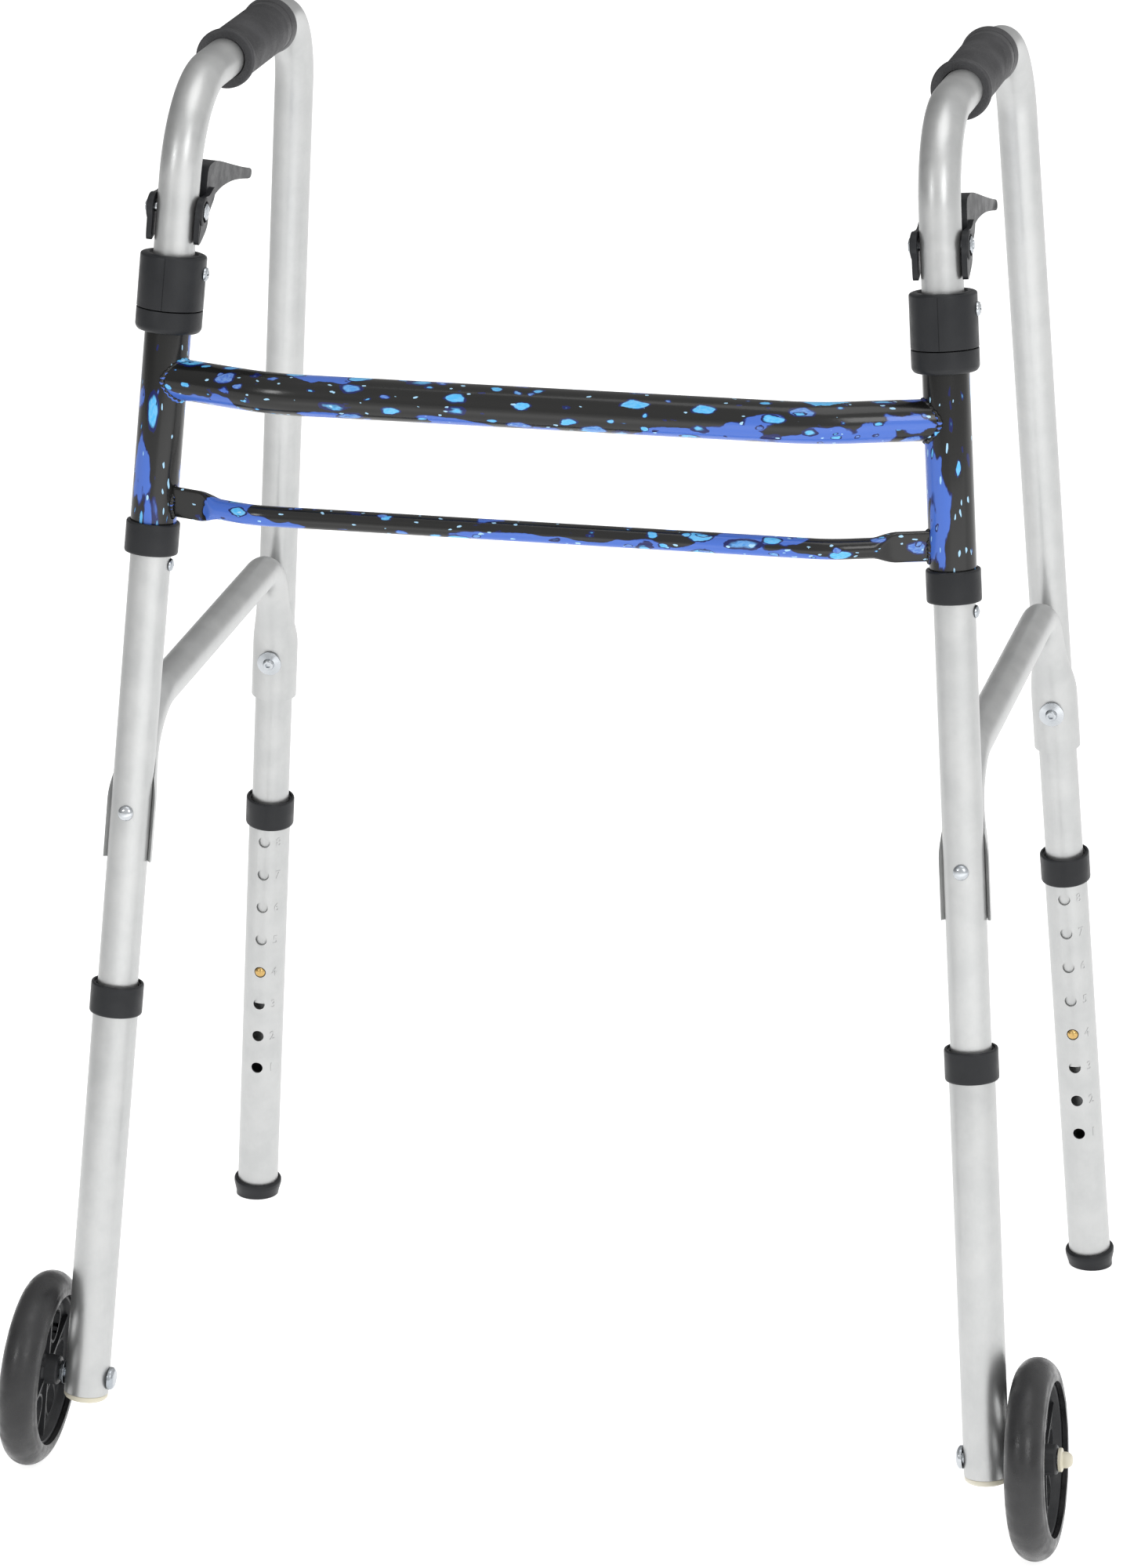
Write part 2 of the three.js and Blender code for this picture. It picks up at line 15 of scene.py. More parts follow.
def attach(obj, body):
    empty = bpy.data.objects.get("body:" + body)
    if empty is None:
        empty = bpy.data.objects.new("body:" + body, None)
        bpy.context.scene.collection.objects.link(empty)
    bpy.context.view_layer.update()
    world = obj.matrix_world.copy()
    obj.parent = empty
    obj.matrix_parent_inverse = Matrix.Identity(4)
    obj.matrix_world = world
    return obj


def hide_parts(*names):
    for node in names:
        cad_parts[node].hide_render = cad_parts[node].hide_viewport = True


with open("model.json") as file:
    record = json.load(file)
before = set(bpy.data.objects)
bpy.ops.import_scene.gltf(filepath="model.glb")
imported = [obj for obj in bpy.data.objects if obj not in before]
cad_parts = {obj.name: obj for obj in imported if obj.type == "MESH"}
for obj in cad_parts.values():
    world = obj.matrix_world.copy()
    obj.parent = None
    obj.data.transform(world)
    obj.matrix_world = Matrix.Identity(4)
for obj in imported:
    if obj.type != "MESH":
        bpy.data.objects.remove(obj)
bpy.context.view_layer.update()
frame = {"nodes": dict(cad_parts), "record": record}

# ---- Sizes, in millimetres -------------------------------

MM = 0.001  # one of them, in metres
TUBE, TUBE_BORE = 12.7, 11.3  # radii of the one-inch tube
OUTER, OUTER_BORE = 14.3, 13.1  # radii of the sleeves and leg extensions
GRIP_LINE, BEND = 890.0, 60.0  # the level run's height and the radius of its two bends
# Heights up the front leg's axis, except for the brace's screw, which is up the rear leg's.
PIVOT, HUB_SCREW, STOP_RIVET, BRACE_BOLT, BRACE_SCREW = 816.0, 778.0, 595.5, 437.4, 424.0
HUB_TOP, HUB_SEAM, HUB_BOTTOM, HUB_RADIUS = 789.0, 755.0, 741.0, 20.5
SLEEVE_TOP, SLEEVE_BOTTOM, SLEEVE_COLLAR = 753.0, 606.3, 602.0
FRONT_TUBE_END, REAR_TUBE_END = 168.0, 159.2
FRONT_LEG = {"top": 320.5, "bottom": 50.4, "hole8": 294.8}
REAR_LEG = {"top": 311.9, "bottom": 6.6, "hole8": 286.2}
# The setting holes in a leg. The button is in number 4.
HOLES, HOLE_STEP, HOLE_RADIUS, BUTTON_HOLE = 8, 25.4, 4.1, 4
COLLAR_RADIUS, COLLAR_HEIGHT, COLLAR_LIP = 16.7, 20.0, 4.3
# The axle's height, then the wheel's place outboard of the leg and its radii.
AXLE, WHEEL_OFFSET, WHEEL_RADIUS, TYRE_SECTION = 61.1, 31.5, 63.1, 12.4
# The brace. Its height is above the floor, and its offset is from each leg towards the other.
BAR_RADIUS, BAR_HEIGHT, BAR_OFFSET, BAR_BEND = 11.1, 495.0, 11.0, 45.0
BAR_FRONT_END, BAR_REAR_END = 405.0, 395.0
UPPER_BAR = {"height": 706.5, "bow": 26.5, "bend_at": 168.0, "bend": 120.0, "radius": 12.6, "bore": 11.2}
LOWER_BAR = {"height": 631.0, "bow": 25.0, "bend_at": 178.0, "bend": 60.0, "radius": 6.3}
FLAT_TALL, FLAT_THICK, FLAT_LENGTH, FLAT_BLEND = 9.4, 1.7, 34.0, 15.0  # the lower bar's pressed ends
SADDLE_OUTER, SADDLE_INNER, SADDLE_LENGTH, SADDLE_BLEND = 15.4, 12.9, 38.0, 42.0  # the brace's ends
# The grip starts and ends at these distances behind the front leg's axis, along the level run.
GRIP_START, GRIP_END, GRIP_RADIUS, GRIP_BORE = 90.5, 204.0, 17.1, 12.75
RIDGES, RIDGE_STEP, RIDGE_DEPTH = 97, 0.9, 0.14
ARM_HALF_WIDTH, ARM_FRONT, EAR_INSIDE, EAR_OUTSIDE = 13.8, 14.0, 13.3, 16.6  # of the lever
SPOKES, WINDOW_MIDDLE, WINDOW_REACH, WINDOW_HALF_WIDTH, WINDOW_BAND = 6, 28.8, 10.2, 8.0, 1.7
NUMERAL_SIZE, NUMERAL_WIDTH, NUMERAL_ASIDE, NUMERAL_RAISED, NUMERAL_SUNK = 9.0, 0.9, 10.5, 0.32, 0.25
CAMERA_PLACE, CAMERA_DOWN, CAMERA_TURN, CAMERA_LENS = (0.689, -3.290, 1.549), 18.65, 12.15, 126.3
SIDES = (("left", 1), ("right", -1))

# ---- Frames of reference ---------------------------------

record = frame["record"]
joints = {joint["name"]: joint for joint in record["behaviour"]["joints"]}
mounts = {mount["name"]: mount for mount in record["mounts"]}
up = Vector(joints["left_side_fold"]["axis"]).normalized()
outboard = Vector(joints["left_wheel_spin"]["axis"]).normalized()
back = up.cross(outboard).normalized()
hinge_point = Vector(joints["left_side_fold"]["pos_m"])
front_floor = hinge_point - up * (hinge_point.z / up.z)
rear_up = -Vector(joints["left_rear_leg_height"]["axis"]).normalized()
rear_floor = Vector(mounts["left_foot_floor"]["pos_m"])


def axes_matrix(x, y, z, origin):
    """From millimetres along three axes to the world's metres."""
    matrix = Matrix((x, y, z)).transposed().to_4x4()
    matrix.translation = origin
    return matrix @ Matrix.Scale(MM, 4)


SIDE = axes_matrix(outboard, back, up, front_floor)
REAR = axes_matrix(outboard, rear_up.cross(outboard), rear_up, rear_floor)
REAR_IN_SIDE = SIDE.inverted() @ REAR
WORLD_MM = Matrix.Scale(MM, 4)


def handed(matrix, side):
    """The matrix for the left side, or its mirror image for the right."""
    return matrix if side > 0 else Matrix.Scale(-1, 4, (1, 0, 0)) @ matrix


def rear_point(height, ahead):
    """A point ahead of the rear leg's axis, in the side frame's axes."""
    return REAR_IN_SIDE @ Vector((0, -ahead, height))


def level_height(floor_height, y):
    """The side frame's Z, at a Y, of a line that is level at a height above the floor."""
    return (floor_height - y * back.z) / up.z


def level_meets_rear(floor_height, ahead):
    """Where a level line meets the line that runs ahead of the rear leg's axis."""
    foot, above = rear_point(0, ahead), rear_point(1, ahead)
    climb = above - foot
    slope = -back.z / up.z
    height = (level_height(floor_height, foot.y) - foot.z) / (climb.z - slope * climb.y)
    return rear_point(height, ahead)


def hole_height(hole8, number):
    """A setting hole's height up its leg, counted down from hole 8."""
    return hole8 - (HOLES - number) * HOLE_STEP


# ---- Shader nodes ----------------------------------------


class Paint:
    """A material under construction, with short calls for the nodes used here."""

    def __init__(self, name, slot, colour, roughness, metallic=0.0, **sockets):
        self.material = bpy.data.materials.new(name)
        self.slot = slot
        self.material.use_nodes = True
        self.tree = self.material.node_tree
        self.shader = self.tree.nodes["Principled BSDF"]
        values = {"Base Color": (*colour, 1), "Roughness": roughness, "Metallic": metallic, **sockets}
        for socket, value in values.items():
            self.shader.inputs[socket].default_value = value
        self.material.diffuse_color = (*colour, 1)

    def node(self, kind, inputs=None, **settings):
        node = self.tree.nodes.new(kind)
        for key, value in settings.items():
            setattr(node, key, value)
        for key, value in (inputs or {}).items():
            if isinstance(value, bpy.types.NodeSocket):
                self.tree.links.new(value, node.inputs[key])
            else:
                node.inputs[key].default_value = value
        return node

    def set(self, socket, value):
        self.tree.links.new(value, self.shader.inputs[socket])

    def place(self, scale=(1, 1, 1)):
        """Object coordinates, in metres, scaled along each axis."""
        source = self.node("ShaderNodeTexCoord").outputs["Object"]
        return self.node("ShaderNodeMapping", {"Vector": source, "Scale": scale}).outputs["Vector"]

    def noise(self, vector, scale, detail=3.0, roughness=0.5):
        inputs = {"Vector": vector, "Scale": scale, "Detail": detail, "Roughness": roughness}
        return self.node("ShaderNodeTexNoise", inputs).outputs["Fac"]

    def spread(self, value, low, high, to_low=0.0, to_high=1.0):
        inputs = {"Value": value, "From Min": low, "From Max": high, "To Min": to_low, "To Max": to_high}
        return self.node("ShaderNodeMapRange", inputs, interpolation_type="SMOOTHSTEP").outputs["Result"]

    def maths(self, operation, a, b=0.0):
        return self.node("ShaderNodeMath", {0: a, 1: b}, operation=operation).outputs[0]

    def vector(self, operation, inputs):
        return self.node("ShaderNodeVectorMath", inputs, operation=operation).outputs["Vector"]

    def blend(self, factor, a, b):
        """A mix of two colours, each of them a tuple or another node's output."""
        node = self.tree.nodes.new("ShaderNodeMix")
        node.data_type = "RGBA"
        colours = {socket.name: socket for socket in node.inputs if socket.type == "RGBA"}
        self.link_or_set(node.inputs["Factor"], factor)
        self.link_or_set(colours["A"], a)
        self.link_or_set(colours["B"], b)
        return next(socket for socket in node.outputs if socket.type == "RGBA")

    def link_or_set(self, socket, value):
        if isinstance(value, bpy.types.NodeSocket):
            self.tree.links.new(value, socket)
        else:
            socket.default_value = (*value, 1) if isinstance(value, tuple) else value

    def bump(self, height, strength, distance):
        inputs = {"Height": height, "Strength": strength, "Distance": distance}
        self.set("Normal", self.node("ShaderNodeBump", inputs).outputs["Normal"])


def worn(paint, colour, dark, rough_low, rough_high, grain, strength, distance):
    """Gives a surface blotches of colour, uneven gloss and a fine grain."""
    place = paint.place()
    blotches = paint.noise(place, 28.0, 4.0)
    paint.set("Base Color", paint.blend(paint.spread(blotches, 0.3, 0.7), dark, colour))
    fine = paint.noise(place, grain, 2.0)
    cloudy = paint.noise(place, 90.0, 5.0, 0.6)
    paint.set("Roughness", paint.spread(cloudy, 0.3, 0.7, rough_low, rough_high))
    paint.bump(fine, strength, distance)
    return paint


def aluminium_paint():
    paint = Paint("satin_aluminium", "satin_aluminium", (0.55, 0.558, 0.555), 0.38, 0.85)
    place = paint.place()
    cloudy = paint.noise(place, 40.0, 5.0, 0.6)
    dark, light = (0.48, 0.487, 0.485), (0.545, 0.55, 0.546)
    paint.set("Base Color", paint.blend(paint.spread(cloudy, 0.3, 0.7), dark, light))
    # Faint drawing lines: the noise is stretched up the legs.
    lines = paint.noise(paint.place((1.0, 1.0, 0.012)), 2600.0, 3.0)
    both = paint.maths("MULTIPLY", paint.maths("ADD", lines, cloudy), 0.5)
    paint.set("Roughness", paint.spread(both, 0.35, 0.65, 0.33, 0.45))
    grain = paint.noise(place, 5200.0, 2.0)
    paint.bump(paint.maths("ADD", grain, lines), 0.12, 0.00006)
    return paint


NAVY, ROYAL = (0.003, 0.008, 0.09), (0.055, 0.14, 0.52)
CYAN, PALE = (0.07, 0.42, 0.78), (0.35, 0.6, 0.8)
DROPS = ((62.0, 0.55, 0.46), (105.0, 0.55, 0.42), (190.0, 0.66, 0.36))  # scale, rarity and size


def splatter_paint(name, stretch, under):
    """Glossy black with drops of blue drawn out along one axis, thickest on the undersides."""
    black = (0.008, 0.008, 0.0075)
    gloss = {"Coat Weight": 0.12, "Coat Roughness": 0.05, "Specular IOR Level": 0.38}
    paint = Paint(name, "splatter_paint", black, 0.2, **gloss)
    place = paint.place(tuple(1.0 / s for s in stretch))
    wobble = paint.node("ShaderNodeTexNoise", {"Vector": place, "Scale": 150.0, "Detail": 3.0})
    shift = paint.vector("SUBTRACT", {0: wobble.outputs["Color"], 1: (0.5, 0.5, 0.5)})
    uneven = paint.vector("ADD", {0: place, 1: paint.vector("SCALE", {0: shift, "Scale": 0.005})})
    normal = paint.node("ShaderNodeNewGeometry").outputs["Normal"]
    height = paint.node("ShaderNodeSeparateXYZ", {0: normal}).outputs["Z"]
    low = paint.spread(height, 0.35, -0.75, 0.0, under)
    # Wide royal-blue runs, where a slow noise rises above a level that drops on the underside.
    level = paint.maths("ADD", paint.noise(uneven, 42.0, 2.5), low)
    runs = paint.spread(level, 0.6, 0.606)
    colour = paint.blend(runs, black, paint.blend(paint.spread(level, 0.607, 0.618), NAVY, ROYAL))
    covered = runs
    # Then the drops, from large and cyan to small.
    for scale, rarity, size in DROPS:
        cells = paint.node("ShaderNodeTexVoronoi", {"Vector": uneven, "Scale": scale, "Randomness": 1.0})
        pick = paint.node("ShaderNodeSeparateColor", {"Color": cells.outputs["Color"]})
        kept = paint.maths("GREATER_THAN", paint.maths("ADD", pick.outputs["Red"], low), rarity)
        reach = paint.maths("MULTIPLY", paint.spread(pick.outputs["Green"], 0.0, 1.0, 0.4, 1.0), size)
        depth = paint.maths("SUBTRACT", reach, cells.outputs["Distance"])
        drop = paint.maths("MULTIPLY", paint.spread(depth, 0.0, 0.012), kept)
        body = paint.blend(paint.spread(pick.outputs["Blue"], 0.15, 0.5), ROYAL, CYAN)
        mottled = paint.blend(paint.spread(paint.noise(uneven, 900.0, 3.0), 0.35, 0.65), body, PALE)
        lit = paint.blend(0.3, body, mottled)
        colour = paint.blend(drop, colour, paint.blend(paint.spread(depth, 0.05, 0.1), NAVY, lit))
        covered = paint.maths("MAXIMUM", covered, drop)
    specks = paint.node("ShaderNodeTexVoronoi", {"Vector": uneven, "Scale": 330.0, "Randomness": 1.0})
    pick = paint.node("ShaderNodeSeparateColor", {"Color": specks.outputs["Color"]})
    speck = paint.maths("MULTIPLY", paint.maths("GREATER_THAN", pick.outputs["Red"], 0.8),
                        paint.spread(specks.outputs["Distance"], 0.24, 0.2))
    paint.set("Base Color", paint.blend(speck, colour, PALE))
    paint.bump(paint.maths("ADD", covered, paint.noise(place, 900.0, 2.0)), 0.16, 0.00018)
    return paint


DULL = {"Specular IOR Level": 0.3}
PAINTS = {
    "aluminium": aluminium_paint(),
    "bar": splatter_paint("splatter_along_bars", (2.2, 1.0, 1.0), 0.16),
    "sleeve": splatter_paint("splatter_down_sleeves", (1.0, 1.0, 3.4), 0.06),
    "plastic": worn(Paint("black_plastic", "black_plastic", (0.02, 0.021, 0.023), 0.42, **DULL),
                    (0.015, 0.016, 0.018), (0.009, 0.01, 0.012), 0.34, 0.48, 2200.0, 0.25, 0.00012),
    "hub": worn(Paint("wheel_plastic", "black_plastic", (0.04, 0.041, 0.043), 0.45, **DULL),
                (0.034, 0.035, 0.037), (0.022, 0.023, 0.025), 0.34, 0.5, 2000.0, 0.3, 0.00014),
    "rubber": worn(Paint("tyre_rubber", "rubber_tyre", (0.018, 0.018, 0.019), 0.5),
                   (0.024, 0.024, 0.025), (0.012, 0.012, 0.013), 0.24, 0.5, 1500.0, 0.4, 0.0002),
    "zinc": worn(Paint("bright_zinc", "zinc_steel", (0.6, 0.62, 0.65), 0.2, 1.0),
                 (0.56, 0.58, 0.6), (0.36, 0.39, 0.42), 0.14, 0.3, 900.0, 0.15, 0.0001),
    "brass": worn(Paint("brass", "brass_button", (0.6, 0.4, 0.14), 0.22, 1.0),
                  (0.66, 0.45, 0.18), (0.4, 0.25, 0.08), 0.15, 0.32, 900.0, 0.15, 0.0001),
    "nylon": worn(Paint("white_nylon", "white_nylon", (0.72, 0.69, 0.58), 0.4),
                  (0.75, 0.72, 0.62), (0.64, 0.6, 0.47), 0.35, 0.5, 1500.0, 0.2, 0.0001),
    "vinyl": worn(Paint("grip_vinyl", "vinyl_grip", (0.03, 0.03, 0.032), 0.5),
                  (0.045, 0.045, 0.048), (0.016, 0.016, 0.018), 0.4, 0.58, 1300.0, 0.9, 0.0004),
}

# ---- Mesh work -------------------------------------------


def grid(rows, wrap=True):
    """A closed skin over rows of points. Each row is a loop, and the last row meets the first."""
    bm = bmesh.new()
    verts = [[bm.verts.new(point) for point in row] for row in rows]
    count = len(rows[0])
    for i in range(len(rows) if wrap else len(rows) - 1):
        near, far = verts[i], verts[(i + 1) % len(rows)]
        for j in range(count):
            k = (j + 1) % count
            bm.faces.new((near[j], near[k], far[k], far[j]))
    bmesh.ops.remove_doubles(bm, verts=bm.verts, dist=1e-4)
    # A row drawn in to the axis leaves a bare edge behind it.
    bare = [edge for edge in bm.edges if not edge.link_faces]
    bmesh.ops.delete(bm, geom=bare, context="EDGES")
    bmesh.ops.recalc_face_normals(bm, faces=bm.faces)
    return bm


def rounded(points, radius=0.8, steps=4):
    """Rounds a closed outline's corners. A point may carry its own radius; one on the axis stays."""
    result = []
    count = len(points)
    for i, point in enumerate(points):
        corner = Vector(point[:2])
        own = point[2] if len(point) > 2 else (0.0 if point[0] == 0 else radius)
        before = Vector(points[i - 1][:2]) - corner
        after = Vector(points[(i + 1) % count][:2]) - corner
        reach = min(own, 0.48 * before.length, 0.48 * after.length)
        if reach < 0.02:
            result.append(tuple(corner))
            continue
        start = corner + before.normalized() * reach
        end = corner + after.normalized() * reach
        for step in range(steps + 1):
            t = step / steps
            on = start * (1 - t) ** 2 + corner * (2 * t * (1 - t)) + end * t**2
            result.append(tuple(on))
    return result


def lathe(outline, steps=64):
    """Turns a closed outline of (radius, height) points about Z."""
    turns = [2 * math.pi * i / steps for i in range(steps)]
    return grid([[(r * math.cos(a), r * math.sin(a), h) for a in turns] for r, h in outline])


def rod(radius, start, end, steps=48):
    return lathe([(0, start), (radius, start), (radius, end), (0, end)], steps)


def ring_tube(outer, bore, bottom, top, steps=72):
    return lathe(rounded([(bore, bottom), (outer, bottom), (outer, top), (bore, top)], 0.35, 3), steps)


def bent(corners, radius, degrees=4.0):
    """Points and directions along straight runs joined by round bends, with the distance to each."""
    ways = [(b - a).normalized() for a, b in zip(corners, corners[1:])]
    stations = [(corners[0], ways[0])]
    for corner, before, after in zip(corners[1:-1], ways, ways[1:]):
        angle = before.angle(after)
        axis = before.cross(after).normalized()
        inward = axis.cross(before)
        centre = corner - before * radius * math.tan(angle / 2) + inward * radius
        steps = max(2, round(math.degrees(angle) / degrees))
        for step in range(steps + 1):
            turn = Matrix.Rotation(angle * step / steps, 3, axis)
            stations.append((centre - turn @ inward * radius, turn @ before))
    stations.append((corners[-1], ways[-1]))
    return stations


def divided(stations, step):
    """The same route with its long straight runs divided into steps."""
    result = [stations[0]]
    for (start, _), (end, way) in zip(stations, stations[1:]):
        parts = max(1, math.ceil((end - start).length / step))
        for part in range(1, parts + 1):
            result.append((start.lerp(end, part / parts), way if part == parts else result[-1][1]))
    return result


def placed_ring(point, way, across, section):
    """A section's (inward, across) points set square to a route."""
    inward = across.cross(way).normalized()
    return [point + inward * u + across * v for u, v in section]


def circle(radius, steps=56):
    turns = [2 * math.pi * i / steps for i in range(steps)]
    return [(radius * math.cos(a), radius * math.sin(a)) for a in turns]


def swept_tube(stations, across, outer, bore):
    """A hollow tube along a route, open at both ends."""
    outside = [placed_ring(p, w, across, circle(outer)) for p, w in stations]
    inside = [placed_ring(p, w, across, circle(bore)) for p, w in reversed(stations)]
    return grid(outside + inside)


def swept_bar(stations, across, section_at):
    """A solid bar along a route. section_at gives the section's points at a distance along it."""
    rows = []
    distance = 0.0
    last = stations[0][0]
    for point, way in stations:
        distance += (point - last).length
        last = point
        rows.append(placed_ring(point, way, across, section_at(distance)))
    first_middle = sum(rows[0], Vector()) / len(rows[0])
    last_middle = sum(rows[-1], Vector()) / len(rows[-1])
    rows = [[first_middle] * len(rows[0])] + rows + [[last_middle] * len(rows[-1])]
    return grid(rows)


def extruded(outline, start, end):
    """A prism: an outline of (y, z) points pushed along X."""
    return swept_outline([[(x, y, z) for y, z in outline] for x in (start, end)])


def swept_outline(rows):
    bm = grid(rows, wrap=False)
    bm.verts.ensure_lookup_table()
    edges = [edge for edge in bm.edges if edge.is_boundary]
    bmesh.ops.holes_fill(bm, edges=edges, sides=0)
    bmesh.ops.recalc_face_normals(bm, faces=bm.faces)
    return bm


def turned_over(bm, matrix):
    bm.transform(matrix)
    return bm


def along_x(bm):
    return turned_over(bm, Matrix.Rotation(math.pi / 2, 4, "Y"))


def along_y(bm):
    return turned_over(bm, Matrix.Rotation(-math.pi / 2, 4, "X"))


def moved(bm, x=0.0, y=0.0, z=0.0):
    return turned_over(bm, Matrix.Translation((x, y, z)))


def flipped(bm, axis):
    return turned_over(bm, Matrix.Scale(-1, 4, axis))


def raw_object(name, bm):
    mesh = bpy.data.meshes.new(name)
    bmesh.ops.recalc_face_normals(bm, faces=bm.faces)
    bm.to_mesh(mesh)
    bm.free()
    obj = bpy.data.objects.new(name, mesh)
    bpy.context.collection.objects.link(obj)
    return obj


def applied(obj):
    """Fixes an object's modifiers into its mesh."""
    graph = bpy.context.evaluated_depsgraph_get()
    mesh = bpy.data.meshes.new_from_object(obj.evaluated_get(graph))
    old = obj.data
    obj.modifiers.clear()
    obj.data = mesh
    bpy.data.meshes.remove(old)
    return obj


def towards_left(bm, side):
    """A shape that points to the user's left, whichever side of the frame it is on."""
    return bm if side > 0 else flipped(bm, (1, 0, 0))


def facing(bm, sign):
    """A shape that points back (sign 1), or its mirror image that points ahead (sign -1)."""
    return bm if sign > 0 else flipped(bm, (0, 1, 0))


def eased(t):
    """From 0 to 1 with a soft start and end."""
    t = min(1.0, max(0.0, t))
    return t * t * (3 - 2 * t)


def combined(bm, others, operation):
    """The first shape with the others cut from it or joined to it, as a new bmesh."""
    base = raw_object("base", bm)
    helpers = [raw_object("helper", other) for other in others]
    for helper in helpers:
        modifier = base.modifiers.new("combine", "BOOLEAN")
        modifier.operation = operation
        modifier.solver = "MANIFOLD"
        modifier.object = helper
    applied(base)
    result = bmesh.new()
    result.from_mesh(base.data)
    for obj in [base, *helpers]:
        mesh = obj.data
        bpy.data.objects.remove(obj)
        bpy.data.meshes.remove(mesh)
    return result


def merged(shapes):
    """Shapes that stand clear of each other, as one bmesh."""
    result = bmesh.new()
    for shape in shapes:
        mesh = bpy.data.meshes.new("part")
        bmesh.ops.recalc_face_normals(shape, faces=shape.faces)
        shape.to_mesh(mesh)
        shape.free()
        result.from_mesh(mesh)
        bpy.data.meshes.remove(mesh)
    return result


def carve(bm, *others):
    return combined(bm, others, "DIFFERENCE")


def join(bm, *others):
    return combined(bm, others, "UNION")


def piece(name, bm, matrix, paint, body, *nodes, sharp=35.0, bevel=0.0):
    """Finishes a shape as a piece that rides on a body and stands for CAD nodes."""
    bm.transform(matrix)
    obj = raw_object(name, bm)
    if bevel:
        modifier = obj.modifiers.new("edges", "BEVEL")
        modifier.width = bevel * MM
        modifier.segments = 3
        modifier.limit_method = "ANGLE"
        modifier.angle_limit = math.radians(sharp)
        applied(obj)
    mesh = obj.data
    mesh.shade_smooth()
    mesh.set_sharp_from_angle(angle=math.radians(sharp))
    mesh.materials.clear()
    mesh.materials.append(PAINTS[paint].material)
    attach(obj, body)
    if nodes:
        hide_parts(*nodes)
    return obj


# ---- The crossbar frame ----------------------------------

ROOT = "crossbar_frame"


def collar_shape(bottom, lip_at_top):
    """A plastic collar with a lip over the tube's end and a recess at its mouth."""
    r, h, lip = COLLAR_RADIUS, COLLAR_HEIGHT, COLLAR_LIP
    outline = rounded([(OUTER + 0.1, 0, 0.2), (r - 0.5, 0), (r, 1.0), (r, h - 1.0), (r - 0.4, h),
                       (r - 1.8, h), (r - 2.0, h - 1.6), (13.3, h - 1.8), (13.3, h - lip),
                       (OUTER + 0.1, h - lip, 0.1)], 0.5)
    if not lip_at_top:
        outline = [(radius, h - height) for radius, height in outline]
    return lathe([(radius, bottom + height) for radius, height in outline], 72)


def sleeve_point(height, side):
    """A point on a sleeve's axis, in the world's millimetres."""
    point = front_floor + up * (height * MM / up.z)
    return Vector((side * point.x, point.y, point.z)) / MM


def bar_route(bar):
    """From the left sleeve's axis to the right one's, bowed ahead in the middle."""
    left, right = sleeve_point(bar["height"], 1), sleeve_point(bar["height"], -1)
    middle = [Vector((s * bar["bend_at"], left.y - bar["bow"], bar["height"])) for s in (1, -1)]
    return divided(bent([left, *middle, right], bar["bend"], 1.5), 12.0)


def sleeve_cutter(side):
    cutter = rod(OUTER + 0.05, SLEEVE_BOTTOM - 20, SLEEVE_TOP + 20, 72)
    return turned_over(cutter, WORLD_MM.inverted() @ handed(SIDE, side))


def weld_bead(name, bar, side, half_height, half_width):
    """A rippled bead of weld round the foot of a crossbar, on the sleeve's wall."""
    start = sleeve_point(bar["height"], side)
    bend = Vector((side * bar["bend_at"], start.y - bar["bow"], bar["height"]))
    out = (bend - start).normalized()
    axis = Vector((side * up.x, up.y, up.z))
    sideways = axis.cross(out).normalized()
    out = sideways.cross(axis).normalized()
    steps = 120
    rows = []
    for i in range(steps):
        turn = 2 * math.pi * i / steps
        shift = sideways * half_width * math.cos(turn) + axis * half_height * math.sin(turn)
        reach = math.sqrt(OUTER**2 - (half_width * math.cos(turn)) ** 2)
        centre = start + shift + out * reach
        spoke = shift.normalized()
        ripple, wander = 0.28 * math.sin(26 * turn), 0.25 * math.sin(5 * turn + side)
        rows.append([centre + spoke * u + out * v for u, v in circle(1.5 + ripple + wander, 12)])
    piece(name, grid(rows), WORLD_MM, "bar", ROOT, sharp=80.0)


def flattened_section(distance, length):
    """The lower bar's section: round in the middle, and pressed flat at its two ends."""
    from_end = min(distance, length - distance)
    t = eased((from_end - FLAT_LENGTH) / FLAT_BLEND)
    tall = FLAT_TALL + (LOWER_BAR["radius"] - FLAT_TALL) * t
    thick = FLAT_THICK + (LOWER_BAR["radius"] - FLAT_THICK) * t
    # A superellipse: the power is 2 for the round, and 6 for the flat with rounded corners.
    power = 2.0 / (6.0 + (2.0 - 6.0) * t)
    section = []
    for i in range(48):
        angle = 2 * math.pi * i / 48
        c, s = math.cos(angle), math.sin(angle)
        inward = thick * math.copysign(abs(c) ** power, c)
        section.append((inward, tall * math.copysign(abs(s) ** power, s)))
    return section


def route_length(stations):
    return sum((b[0] - a[0]).length for a, b in zip(stations, stations[1:]))


def crossbars():
    vertical = Vector((0, 0, 1))
    cutters = [sleeve_cutter(1), sleeve_cutter(-1)]
    upper = swept_tube(bar_route(UPPER_BAR), vertical, UPPER_BAR["radius"], UPPER_BAR["bore"])
    piece("upper_crossbar_tube", carve(upper, *cutters), WORLD_MM, "bar", ROOT, "upper_crossbar")
    route = divided(bar_route(LOWER_BAR), 3.0)
    length = route_length(route)
    lower = swept_bar(route, vertical, lambda distance: flattened_section(distance, length))
    cutters = [sleeve_cutter(1), sleeve_cutter(-1)]
    piece("lower_crossbar_rod", carve(lower, *cutters), WORLD_MM, "bar", ROOT, "lower_crossbar")
    for name, side in SIDES:
        weld_bead(f"{name}_upper_weld", UPPER_BAR, side, 12.4, 12.4)
        weld_bead(f"{name}_lower_weld", LOWER_BAR, side, 9.2, 2.2)


